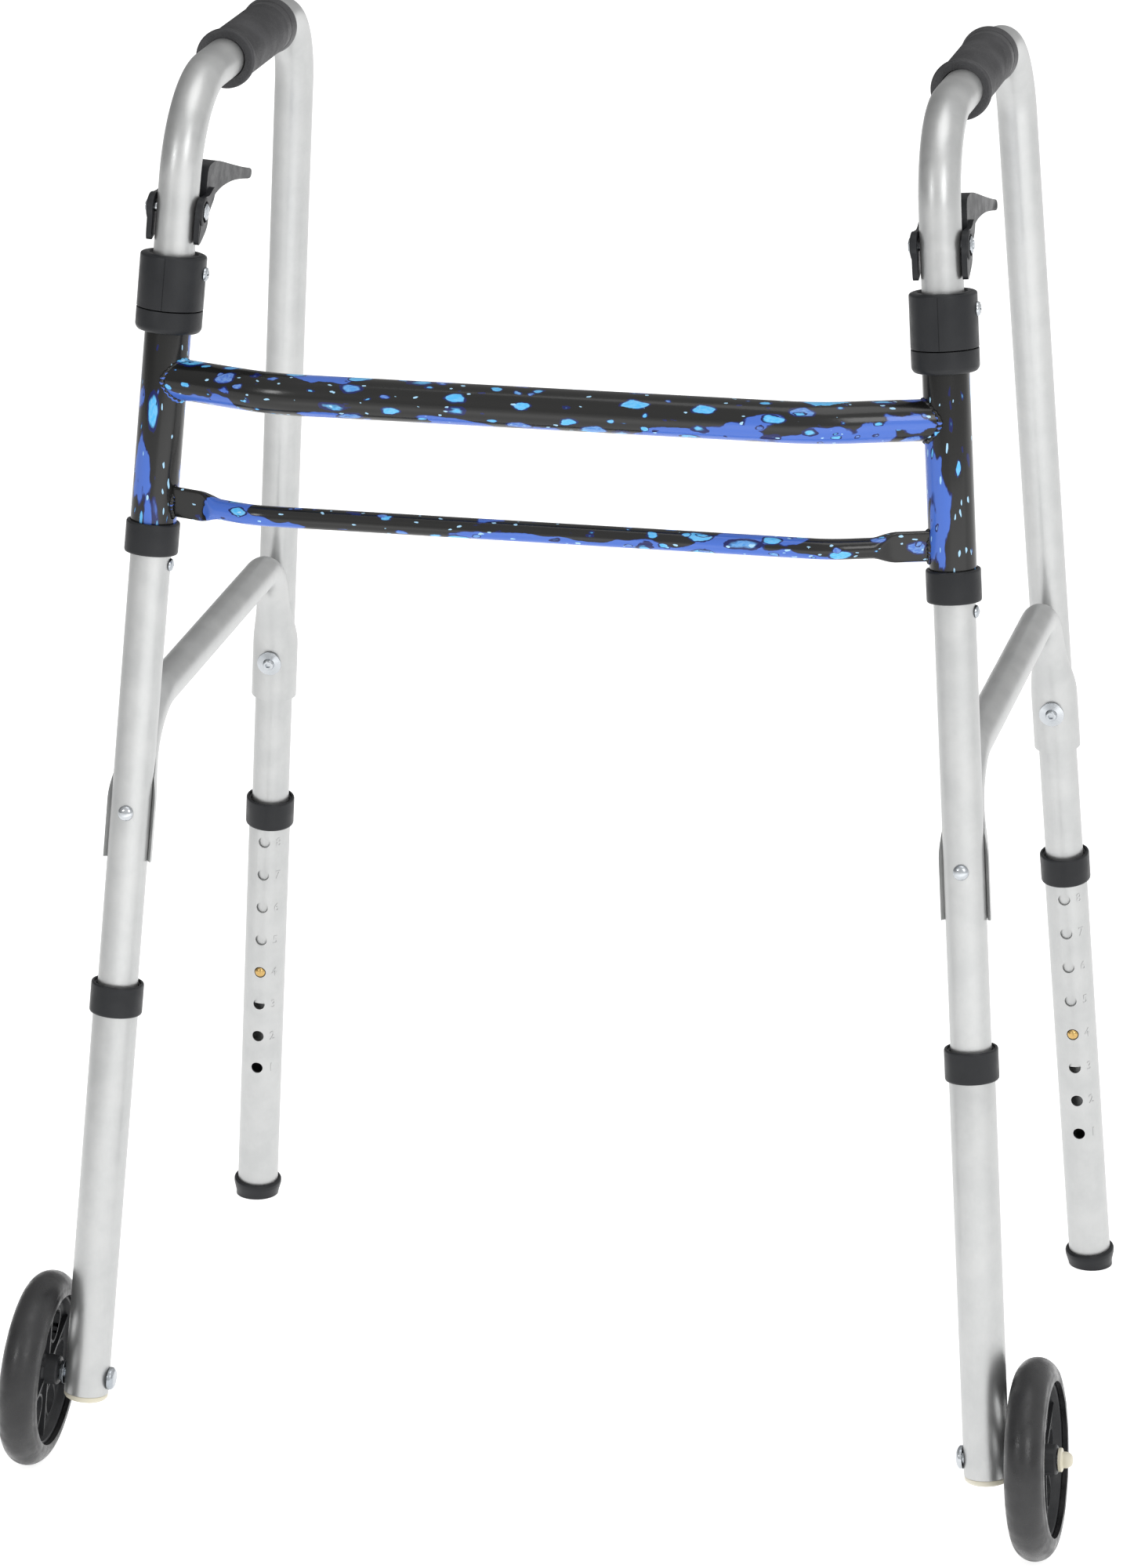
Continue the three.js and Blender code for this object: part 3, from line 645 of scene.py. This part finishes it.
def sleeve(name, side):
    place = handed(SIDE, side)
    tube = ring_tube(OUTER, OUTER_BORE, SLEEVE_BOTTOM, SLEEVE_TOP)
    piece(f"{name}_sleeve_tube", tube, place, "sleeve", ROOT, f"{name}_pivot_sleeve")
    top = HUB_SEAM - 0.2
    ring = rounded([(OUTER + 0.1, HUB_BOTTOM, 0.3), (HUB_RADIUS - 1.6, HUB_BOTTOM),
                    (HUB_RADIUS, HUB_BOTTOM + 2.5), (HUB_RADIUS, top, 0.5), (OUTER + 0.1, top, 0.2)], 1.2)
    piece(f"{name}_hub_collar", lathe(ring, 96), place, "plastic", ROOT, f"{name}_lower_hub_collar")
    piece(f"{name}_sleeve_collar", collar_shape(SLEEVE_COLLAR, False), place, "plastic", ROOT,
          f"{name}_sleeve_end_collar")


# ---- Side frames -----------------------------------------


def side_tube(name, side):
    """The tube that runs up the front leg, level for the grip and down the rear leg."""
    across = Vector((1, 0, 0))
    corners = [Vector((0, 0, FRONT_TUBE_END)), Vector((0, 0, GRIP_LINE)),
               level_meets_rear(GRIP_LINE * up.z, 0), rear_point(REAR_TUBE_END, 0)]
    tube = swept_tube(bent(corners, BEND, 3.0), across, TUBE, TUBE_BORE)
    front_hole = moved(along_y(rod(HOLE_RADIUS, 8, 16)), z=hole_height(FRONT_LEG["hole8"], BUTTON_HOLE))
    rear_hole = moved(along_y(rod(HOLE_RADIUS, -16, -8)), z=hole_height(REAR_LEG["hole8"], BUTTON_HOLE))
    rear_hole = turned_over(rear_hole, REAR_IN_SIDE)
    piece(f"{name}_bent_tube", carve(tube, front_hole, rear_hole), handed(SIDE, side), "aluminium",
          f"{name}_side_frame", f"{name}_side_tube")


def crushed_section(weight):
    """A round section (weight 0) that flattens into a thin channel round the leg (weight 1).

    The round's front 130 degrees on each side become the channel's outer wall, and the rest its inner one.
    """
    section = []
    for i in range(64):
        turn = 2 * math.pi * i / 64 - math.pi
        around = (-BAR_RADIUS * math.cos(turn), BAR_RADIUS * math.sin(turn))
        degrees = abs(math.degrees(turn))
        outside = degrees <= 130
        swing = 98 * (degrees / 130 if outside else (180 - degrees) / 50)
        angle = math.copysign(math.radians(swing), turn)
        radius = SADDLE_OUTER if outside else SADDLE_INNER
        hugging = (BAR_OFFSET - radius * math.cos(angle), radius * math.sin(angle))
        section.append(tuple(a + (b - a) * weight for a, b in zip(around, hugging)))
    return section


def brace(name, side):
    """The bent bar between the legs, with a saddle round each leg at its ends."""
    corners = [Vector((0, BAR_OFFSET, BAR_FRONT_END)),
               Vector((0, BAR_OFFSET, level_height(BAR_HEIGHT, BAR_OFFSET))),
               level_meets_rear(BAR_HEIGHT, BAR_OFFSET), rear_point(BAR_REAR_END, BAR_OFFSET)]
    route = divided(bent(corners, BAR_BEND, 3.0), 4.0)
    length = route_length(route)

    def section_at(distance):
        from_end = min(distance, length - distance)
        return crushed_section(1 - eased((from_end - SADDLE_LENGTH) / SADDLE_BLEND))

    bar = swept_bar(route, Vector((1, 0, 0)), section_at)
    front_leg_room, rear_leg_room = (rod(TUBE + 0.3, 300, 620, 72) for _ in range(2))
    shape = carve(bar, front_leg_room, turned_over(rear_leg_room, REAR_IN_SIDE))
    piece(f"{name}_brace_bar", shape, handed(SIDE, side), "aluminium", f"{name}_side_frame",
          f"{name}_side_brace", sharp=40.0)


def brace_bolts(name, side):
    """A bolt through the front leg and a button-head screw with a hexagon socket in the rear one."""
    body = f"{name}_side_frame"
    head = rounded([(0, -16.2, 0), (2.6, -15.9, 1.5), (4.6, -14.6, 1.2), (5, -12.9, 0.3), (2.4, -12.9, 0.1),
                    (2.4, 17.5, 0.1), (4.6, 17.5, 0.3), (4.6, 19.5), (2.6, 21.0), (0, 21.4, 0)], 0.6)
    bolt = moved(along_y(lathe(head, 40)), z=BRACE_BOLT)
    piece(f"{name}_brace_bolt", bolt, handed(SIDE, side), "zinc", body, f"{name}_brace_front_bolt")
    button = rounded([(0, -21.0, 0), (3.2, -20.9, 0.8), (4.0, -19.0, 0.8), (4.0, -18.2, 0.1),
                      (8.4, -17.4, 0.3), (8.4, -16.1, 0.3), (2.2, -15.9, 0.1), (2.2, 13.1, 0.1),
                      (4.6, 13.1, 0.3), (4.6, 15.4), (0, 16.4, 0)], 0.6)
    screw = moved(along_y(carve(lathe(button, 48), rod(2.0, -22, -19.4, 6))), z=BRACE_SCREW)
    piece(f"{name}_brace_screw", screw, handed(REAR, side), "zinc", body, f"{name}_brace_rear_screw")


def rod_box(thick, wide, start, end):
    """A bar of oblong section along Z."""
    return swept_outline([oblong(-thick / 2, thick / 2, wide / 2, z) for z in (start, end)])


def oblong(left, right, half, z):
    """A level oblong's corners: from left to right in X, and half its width to each side in Y."""
    return [(left, -half, z), (right, -half, z), (right, half, z), (left, half, z)]


def hub_screws(name, side):
    """A cross-head screw in the hub and a rivet under the sleeve. Both face the user's left."""
    body, place = f"{name}_side_frame", handed(SIDE, side)
    head = lathe(rounded([(0, 11, 0), (2, 11, 0.2), (2, 20.3, 0.1), (4.5, 20.3, 0.3), (4.0, 22.0, 1.0),
                          (0, 22.9, 0)], 0.6), 40)
    cross = [turned_over(rod_box(0.9, 5.2, 21.6, 24), Matrix.Rotation(turn, 4, "Z"))
             for turn in (0, math.pi / 2)]
    screw = moved(towards_left(along_x(carve(head, *cross)), side), z=HUB_SCREW)
    piece(f"{name}_hub_cross_screw", screw, place, "zinc", body, f"{name}_hub_screw")
    outline = rounded([(0, 11, 0), (1.9, 11, 0.2), (1.9, 12.7, 0.1), (4.1, 12.7, 0.2), (3.6, 14.2, 1.2),
                       (0, 15.4, 0)], 0.6)
    rivet = moved(towards_left(along_x(lathe(outline, 40)), side), z=STOP_RIVET)
    piece(f"{name}_stop_rivet", rivet, place, "zinc", body, f"{name}_sleeve_stop_rivet")


def grip(name, side):
    """A vinyl grip on the level run, with a rim at each end and fine ridges between them."""
    corner = level_meets_rear(GRIP_LINE * up.z, 0)
    angle = math.atan2(corner.y, corner.z - GRIP_LINE)
    start, end, radius, bore = GRIP_START, GRIP_END, GRIP_RADIUS, GRIP_BORE
    front = rounded([(bore, start + 0.5, 0.2), (17.6, start, 0.6), (18.9, start + 1.0),
                     (18.9, start + 3.6), (17.4, start + 5.2), (radius, start + 8.0, 0.3)], 0.8)
    ridges = [(radius + RIDGE_DEPTH * (-1) ** i, start + 8.0 + i * RIDGE_STEP)
              for i in range(1, RIDGES + 1)]
    rear = rounded([(radius, end - 9.0, 0.3), (18.2, end - 3.0, 1.5), (18.3, end - 0.8),
                    (17.4, end, 0.5), (bore, end, 0.2)], 0.8)
    place = Matrix.Translation((0, 0, GRIP_LINE)) @ Matrix.Rotation(-angle, 4, "X")
    skin = turned_over(lathe(front + ridges + rear, 96), place)
    piece(f"{name}_vinyl_grip", skin, handed(SIDE, side), "vinyl", f"{name}_side_frame",
          f"{name}_hand_grip")


def hub(name, side):
    """The housing that turns with the side tube, on top of the sleeve's collar."""
    bottom, top = HUB_SEAM + 0.4, HUB_TOP
    outline = rounded([(TUBE + 0.1, bottom, 0.3), (HUB_RADIUS, bottom, 0.5), (HUB_RADIUS, top - 1.0, 1.8),
                       (HUB_RADIUS - 2.2, top, 1.2), (TUBE + 2.6, top, 0.4), (TUBE + 2.2, top - 1.2, 0.3),
                       (TUBE + 0.1, top - 1.4, 0.3)], 0.8, 5)
    screw_hole = moved(towards_left(along_x(rod(2.4, 8, 30)), side), z=HUB_SCREW)
    # The mould's parting line runs down the front as a shallow groove.
    groove = moved(rod_box(0.5, 0.8, bottom - 2, top + 2), y=-HUB_RADIUS)
    shell = carve(lathe(outline, 96), screw_hole, groove)
    piece(f"{name}_hub_shell", shell, handed(SIDE, side), "plastic", f"{name}_side_frame",
          f"{name}_hub_housing")


def smooth_outline(points, rounds=2):
    """Cuts the corners of a closed outline again and again until it runs smoothly."""
    for _ in range(rounds):
        cut = []
        for here, after in zip(points, points[1:] + points[:1]):
            a, b = Vector(here), Vector(after)
            cut += [tuple(a.lerp(b, 0.25)), tuple(a.lerp(b, 0.75))]
        points = cut
    return points


def lever(name, side):
    """A paddle reaching back behind the tube, and an ear with a round boss on each side of it."""
    paddle = smooth_outline([(14, 826), (14, 841), (25, 843.2), (36, 843.2), (54, 840.2), (83, 835),
                             (110, 830.5), (126, 828.4), (128.6, 825), (126, 821.6), (105, 824),
                             (83, 825.8), (65, 825.8), (47, 824.6), (30, 820.5), (20, 817.6), (14, 816)])
    tube_room = extruded([(-40, 760), (ARM_FRONT, 760), (ARM_FRONT, 870), (-40, 870)], -20, 20)
    arm = carve(extruded(paddle, -ARM_HALF_WIDTH, ARM_HALF_WIDTH), tube_room)
    ear = smooth_outline([(-8.2, 812), (-7.5, 820.5), (-3, 824.4), (5, 824.6), (13, 824.5), (22, 829),
                          (27, 827), (24, 821), (17, 816.5), (12.5, 812), (12, 804.5), (-4.5, 795.6),
                          (-7.5, 797), (-8.2, 804)])
    ears = [extruded(ear, EAR_INSIDE, EAR_OUTSIDE), extruded(ear, -EAR_OUTSIDE, -EAR_INSIDE)]
    boss = rounded([(0, 13.4, 0), (8.8, 13.4, 0.3), (8.8, 17.4, 0.8), (6.6, 18.0, 0.4), (6.3, 15.6, 0.3),
                    (0, 15.6, 0)], 0.5)
    bosses = [moved(towards_left(along_x(lathe(boss, 56)), sign), z=PIVOT) for sign in (1, -1)]
    bolt_hole = moved(along_x(rod(3.3, -30, 30)), z=PIVOT)
    yoke = carve(join(arm, *ears, *bosses), bolt_hole)
    piece(f"{name}_lever_paddle", yoke, handed(SIDE, side), "plastic", f"{name}_lever",
          f"{name}_release_lever", sharp=38.0, bevel=0.7)


def pivot_bolt(name, side):
    """The bolt the lever turns on, with a hexagon at each end and a longer stub outboard."""
    hexes = []
    for sign, stub_end in ((1, 19.9), (-1, 19.5)):
        nut = lathe(rounded([(0, 15.8, 0), (5.2, 15.8, 0.2), (5.2, 18.6, 0.5), (4.3, 19.3, 0.3),
                             (0, 19.3, 0)], 0.3), 6)
        hexes.append(towards_left(along_x(join(nut, rod(2.6, 15.0, stub_end, 32))), sign))
    bolt = join(along_x(rod(2.9, -17.5, 17.5, 32)), *hexes)
    piece(f"{name}_pivot_bolt", moved(bolt, z=PIVOT), handed(SIDE, side), "zinc", f"{name}_side_frame",
          f"{name}_lever_pivot_bolt", bevel=0.25)


# ---- Legs ------------------------------------------------


def on_axle(bm):
    """A shape made about Z, laid along the axle."""
    return moved(along_x(bm), z=AXLE)


def setting_holes(hole8, sign):
    """Cutters for a leg's row of holes, in its back (sign 1) or its front (sign -1)."""
    cutters = [moved(along_y(rod(HOLE_RADIUS, 10, 18)), z=hole_height(hole8, number))
               for number in range(1, HOLES + 1)]
    return [facing(cutter, sign) for cutter in cutters]


def leg_tube(name, side, matrix, leg, sign, end, extra=()):
    """A leg extension with its row of holes, and the collar on its top."""
    tube = ring_tube(OUTER, OUTER_BORE, leg["bottom"], leg["top"])
    shape = carve(tube, merged([*setting_holes(leg["hole8"], sign), *extra]))
    body = f"{name}_{end}_leg"
    place = handed(matrix, side)
    piece(f"{name}_{end}_extension", shape, place, "aluminium", body, f"{name}_{end}_leg_tube")
    bottom = leg["top"] - COLLAR_HEIGHT + COLLAR_LIP
    piece(f"{name}_{end}_collar", collar_shape(bottom, True), place, "plastic", body,
          f"{name}_{end}_leg_collar")


def snap_button(name, side, matrix, hole8, sign, end):
    """The spring button that shows in one of the leg's holes."""
    dome = rounded([(0, 7.2, 0), (3.75, 7.2, 0.2), (3.75, 14.2, 1.6), (2.2, 15.7, 1.2),
                    (0, 16.0, 0)], 0.8, 6)
    button = facing(moved(along_y(lathe(dome, 40)), z=hole_height(hole8, BUTTON_HOLE)), sign)
    piece(f"{name}_{end}_button", button, handed(matrix, side), "brass", f"{name}_{end}_button",
          f"{name}_{end}_snap_button")


def numeral(number):
    """A number as a flat solid round the origin, facing up Z."""
    curve = bpy.data.curves.new("numeral", "FONT")
    curve.body = str(number)
    curve.size = NUMERAL_SIZE
    curve.align_x = "CENTER"
    curve.align_y = "CENTER"
    curve.extrude = 0.5
    curve.resolution_u = 4
    source = bpy.data.objects.new("numeral", curve)
    bpy.context.collection.objects.link(source)
    graph = bpy.context.evaluated_depsgraph_get()
    mesh = bpy.data.meshes.new_from_object(source.evaluated_get(graph))
    bm = bmesh.new()
    bm.from_mesh(mesh)
    bpy.data.objects.remove(source)
    bpy.data.curves.remove(curve)
    bpy.data.meshes.remove(mesh)
    bmesh.ops.remove_doubles(bm, verts=bm.verts, dist=1e-4)
    return bm


def numerals(name, side):
    """Raised numbers beside the height holes of a rear leg, wrapped round the tube."""
    for number in range(1, HOLES + 1):
        bm = numeral(number)
        middle = hole_height(REAR_LEG["hole8"], number)
        for vert in bm.verts:
            # The numbers read the right way round on both sides, and stand to the user's left.
            turn = (vert.co.x * NUMERAL_WIDTH + NUMERAL_ASIDE) / OUTER
            radius = OUTER + (NUMERAL_RAISED if vert.co.z > 0 else -NUMERAL_SUNK)
            across, ahead = side * radius * math.sin(turn), -radius * math.cos(turn)
            vert.co = Vector((across, ahead, middle + vert.co.y))
        piece(f"{name}_numeral_{number}", bm, handed(REAR, side), "aluminium", f"{name}_rear_leg",
              sharp=40.0)


def front_leg(name, side):
    leg_tube(name, side, SIDE, FRONT_LEG, 1, "front", (on_axle(rod(4.2, -20, 20)),))
    snap_button(name, side, SIDE, FRONT_LEG["hole8"], 1, "front")
    end, radius, bore = FRONT_LEG["bottom"], OUTER - 0.2, OUTER_BORE - 0.1
    plug = rounded([(0, end - 4.2, 0), (OUTER - 1.6, end - 4.2, 1.4), (radius, end - 2.4),
                    (radius, end - 0.1), (bore, end - 0.1, 0.1), (bore, end + 4.5), (0, end + 4.5, 0)], 0.6)
    piece(f"{name}_leg_plug", lathe(plug, 72), handed(SIDE, side), "nylon", f"{name}_front_leg",
          f"{name}_front_leg_plug")
    axle(name, side)


def axle(name, side):
    """The axle bolt, the nut and washer on the leg's outboard face, and the cap on the bolt's end."""
    place, body = handed(SIDE, side), f"{name}_front_leg"
    head = rounded([(0, -18.3, 0), (5.4, -18.3, 0.8), (7.4, -16.6, 0.8), (7.4, -14.4, 0.3),
                    (4, -14.4, 0.1), (4, 49.5, 0.5), (0, 49.5, 0)], 0.6)
    piece(f"{name}_axle", on_axle(lathe(head, 48)), place, "zinc", body, f"{name}_axle_bolt")
    washer = rounded([(4.1, 14.4, 0.1), (8.1, 14.4, 0.3), (8.1, 15.5, 0.3), (4.1, 15.5, 0.1)], 0.3)
    nut = rounded([(4.1, 15.3, 0.1), (7.0, 15.3, 0.3), (7.0, 17.6, 0.5), (4.1, 17.6, 0.1)], 0.3)
    both = on_axle(join(lathe(washer, 48), lathe(nut, 6)))
    piece(f"{name}_axle_nut", both, place, "zinc", body, f"{name}_axle_inner_nut", bevel=0.2)
    cap = rounded([(4.1, 45.4, 0.1), (7.5, 45.4, 0.5), (7.5, 47.6, 0.5), (5.2, 48.2, 0.4),
                   (5.1, 51.2, 1.4), (3.2, 53.9, 1.2), (0, 54.2, 0), (0, 50.2, 0), (4.1, 50.2, 0.1)], 0.6)
    piece(f"{name}_cap", on_axle(lathe(cap, 48)), place, "nylon", body, f"{name}_axle_cap_nut")


def rear_leg(name, side):
    leg_tube(name, side, REAR, REAR_LEG, -1, "rear")
    snap_button(name, side, REAR, REAR_LEG["hole8"], -1, "rear")
    numerals(name, side)
    cup = lathe(rounded([(0, -6, 0), (15.0, -6, 0.2), (15.0, 1.5, 1.0), (15.4, 3.5), (16.9, 9.5, 1.2),
                         (16.9, 12.0), (16.0, 13.0, 0.5), (14.6, 13.0, 0.4), (14.4, 6.4, 0.2),
                         (0, 6.4, 0)], 0.7), 72)
    # The glide's underside is cut level with the floor.
    ground = rod(60, -60, 0, 24)
    ground.transform(REAR.inverted() @ Matrix.Translation(rear_floor) @ WORLD_MM)
    piece(f"{name}_glide", carve(cup, ground), handed(REAR, side), "plastic", f"{name}_rear_leg",
          f"{name}_rear_foot")


# ---- Wheels ----------------------------------------------


def tyre(name, side):
    """A round tyre with a fine groove round each sidewall."""
    ring = WHEEL_RADIUS - TYRE_SECTION
    outline = []
    for i in range(41):
        angle = math.radians(-100 + 5 * i)
        groove = 0.3 * math.exp(-(((abs(angle) - 1.3) / 0.06) ** 2))
        reach = TYRE_SECTION - groove
        outline.append((ring + reach * math.cos(angle), WHEEL_OFFSET + reach * math.sin(angle)))
    outline += [(ring - 2.0, WHEEL_OFFSET + 9.2), (ring - 0.1, WHEEL_OFFSET + 8.8),
                (ring - 0.1, WHEEL_OFFSET - 8.8), (ring - 2.0, WHEEL_OFFSET - 9.2)]
    piece(f"{name}_tyre_ring", on_axle(lathe(outline, 144)), handed(SIDE, side), "rubber", f"{name}_wheel",
          f"{name}_tyre")


def window_outline(grow=0.0, steps=40):
    """A rounded opening between two spokes, wider at the rim: (radius, across) points."""
    points = []
    for i in range(steps):
        turn = 2 * math.pi * i / steps
        c, s = math.cos(turn), math.sin(turn)
        x = math.copysign(abs(c) ** 0.75, c) * (WINDOW_REACH + grow)
        y = math.copysign(abs(s) ** 0.75, s) * (WINDOW_HALF_WIDTH + grow) * (1 + 0.16 * c)
        points.append((WINDOW_MIDDLE + x, y))
    return points


def wheel_hub(name, side):
    """A moulded disc with six windows, a raised rim round each, spokes, a rim and a boss."""
    rim = WHEEL_RADIUS - TYRE_SECTION - 0.4
    half = [(4.4, 13.3, 0.3), (8.6, 13.3, 0.8), (9.3, 12.2, 0.5), (10.2, 3.2, 2.0), (rim - 5.5, 2.2, 2.0),
            (rim - 3.6, 8.6, 0.8), (rim - 0.2, 8.6, 0.5)]
    outline = rounded([(r, WHEEL_OFFSET - h, c) for r, h, c in half]
                      + [(r, WHEEL_OFFSET + h, c) for r, h, c in reversed(half)])
    disc = lathe(outline, 144)
    step = 2 * math.pi / SPOKES

    def around(section, half_height, offset):
        """A section in (radius, across), as a prism in the wheel's plane, repeated round the hub."""
        levels = (WHEEL_OFFSET - half_height, WHEEL_OFFSET + half_height)
        return [turned_over(swept_outline([[(x, y, z) for x, y in section] for z in levels]),
                            Matrix.Rotation((i + offset) * step, 4, "Z")) for i in range(SPOKES)]

    bands = around(window_outline(WINDOW_BAND), 4.2, 0.5)
    ribs = around([(8, -1), (rim - 3, -1), (rim - 3, 1), (8, 1)], 5.6, 0)
    shape = carve(join(disc, *bands, *ribs), *around(window_outline(), 9, 0.5))
    piece(f"{name}_wheel_disc", on_axle(shape), handed(SIDE, side), "hub", f"{name}_wheel",
          f"{name}_wheel_hub", bevel=0.35)


# ---- The whole frame -------------------------------------


def finish_hidden_nodes(name):
    """The lock pin and its spring stay as the CAD made them, inside the tube."""
    for node in ("lock_pin", "lock_spring"):
        mesh = frame["nodes"][f"{name}_{node}"].data
        mesh.materials.clear()
        mesh.materials.append(PAINTS["zinc"].material)


def build():
    crossbars()
    for name, side in SIDES:
        sleeve(name, side)
        side_tube(name, side)
        brace(name, side)
        brace_bolts(name, side)
        hub_screws(name, side)
        grip(name, side)
        hub(name, side)
        lever(name, side)
        pivot_bolt(name, side)
        front_leg(name, side)
        rear_leg(name, side)
        tyre(name, side)
        wheel_hub(name, side)
        finish_hidden_nodes(name)


# ---- Stage, lights and camera ----------------------------


def area_light(name, place, target, size, power):
    """An oblong light, in metres, that faces a point."""
    light = bpy.data.lights.new(name, "AREA")
    light.shape = "RECTANGLE"
    light.size, light.size_y = size
    light.energy = power
    obj = bpy.data.objects.new(name, light)
    obj.location = place
    obj.rotation_euler = (Vector(target) - Vector(place)).to_track_quat("-Z", "Y").to_euler()
    bpy.context.collection.objects.link(obj)


def stage():
    """A wide floor, the surroundings and three lights."""
    mesh = bpy.data.meshes.new("floor")
    mesh.from_pydata(oblong(-12.0, 12.0, 12.0, 0), [], [(0, 1, 2, 3)])
    floor = bpy.data.objects.new("floor", mesh)
    bpy.context.collection.objects.link(floor)
    material = bpy.data.materials.new("pale_floor")
    material.use_nodes = True
    shader = material.node_tree.nodes["Principled BSDF"]
    shader.inputs["Base Color"].default_value = (0.7, 0.7, 0.7, 1)
    shader.inputs["Roughness"].default_value = 0.9
    shader.inputs["Specular IOR Level"].default_value = 0.0
    shader.inputs["Emission Color"].default_value = (1, 1, 1, 1)
    light_floor(material.node_tree, shader)
    mesh.materials.append(material)
    studio()
    area_light("key", (1.9, -2.7, 2.3), (0, 0, 0.5), (1.0, 1.4), 20)
    area_light("glint", (-1.5, -2.4, 1.7), (0, 0, 0.4), (0.35, 0.7), 8)
    area_light("top", (0.4, -0.3, 3.0), (0, 0, 0.4), (1.6, 1.6), 12)
    # White stays white with the plain view transform.
    bpy.context.scene.view_settings.view_transform = "Standard"


def ramp(tree, source, direction, start_end, low_high):
    """A value that runs smoothly from low to high between two distances along a direction."""
    along = tree.nodes.new("ShaderNodeVectorMath")
    along.operation = "DOT_PRODUCT"
    along.inputs[1].default_value = direction
    tree.links.new(source, along.inputs[0])
    node = tree.nodes.new("ShaderNodeMapRange")
    node.interpolation_type = "SMOOTHSTEP"
    node.inputs["From Min"].default_value, node.inputs["From Max"].default_value = start_end
    node.inputs["To Min"].default_value, node.inputs["To Max"].default_value = low_high
    tree.links.new(along.outputs["Value"], node.inputs["Value"])
    return node.outputs["Result"]


def light_floor(tree, shader):
    """A glowing floor that is brighter ahead of the frame and falls away to the user's right."""
    place = tree.nodes.new("ShaderNodeTexCoord").outputs["Object"]
    ahead = ramp(tree, place, (0, -1, 0), (0.7, 1.3), (0.78, 1.35))
    aside = ramp(tree, place, (1, 0.369, 0), (-1.7, -0.8), (0.45, 1.0))
    both = tree.nodes.new("ShaderNodeMath")
    both.operation = "MULTIPLY"
    tree.links.new(ahead, both.inputs[0])
    tree.links.new(aside, both.inputs[1])
    tree.links.new(both.outputs[0], shader.inputs["Emission Strength"])


def studio():
    """Surroundings that are bright to the user's left and ahead, and dim to the right."""
    world = bpy.data.worlds.new("studio")
    bpy.context.scene.world = world
    world.use_nodes = True
    tree = world.node_tree
    way = tree.nodes.new("ShaderNodeTexCoord").outputs["Generated"]
    glow = ramp(tree, way, (0.8, -0.45, 0.4), (-0.75, 0.7), (0.3, 0.85))
    background = tree.nodes["Background"]
    background.inputs["Color"].default_value = (1, 1, 1, 1)
    tree.links.new(glow, background.inputs["Strength"])


def camera():
    """A long lens ahead of the frame and above it, looking down at it."""
    data = bpy.data.cameras.new("camera")
    data.lens = CAMERA_LENS
    data.sensor_width = 36.0
    obj = bpy.data.objects.new("camera", data)
    obj.location = CAMERA_PLACE
    obj.rotation_euler = (math.radians(90 - CAMERA_DOWN), 0, math.radians(CAMERA_TURN))
    bpy.context.collection.objects.link(obj)
    bpy.context.scene.camera = obj


build()
stage()
camera()
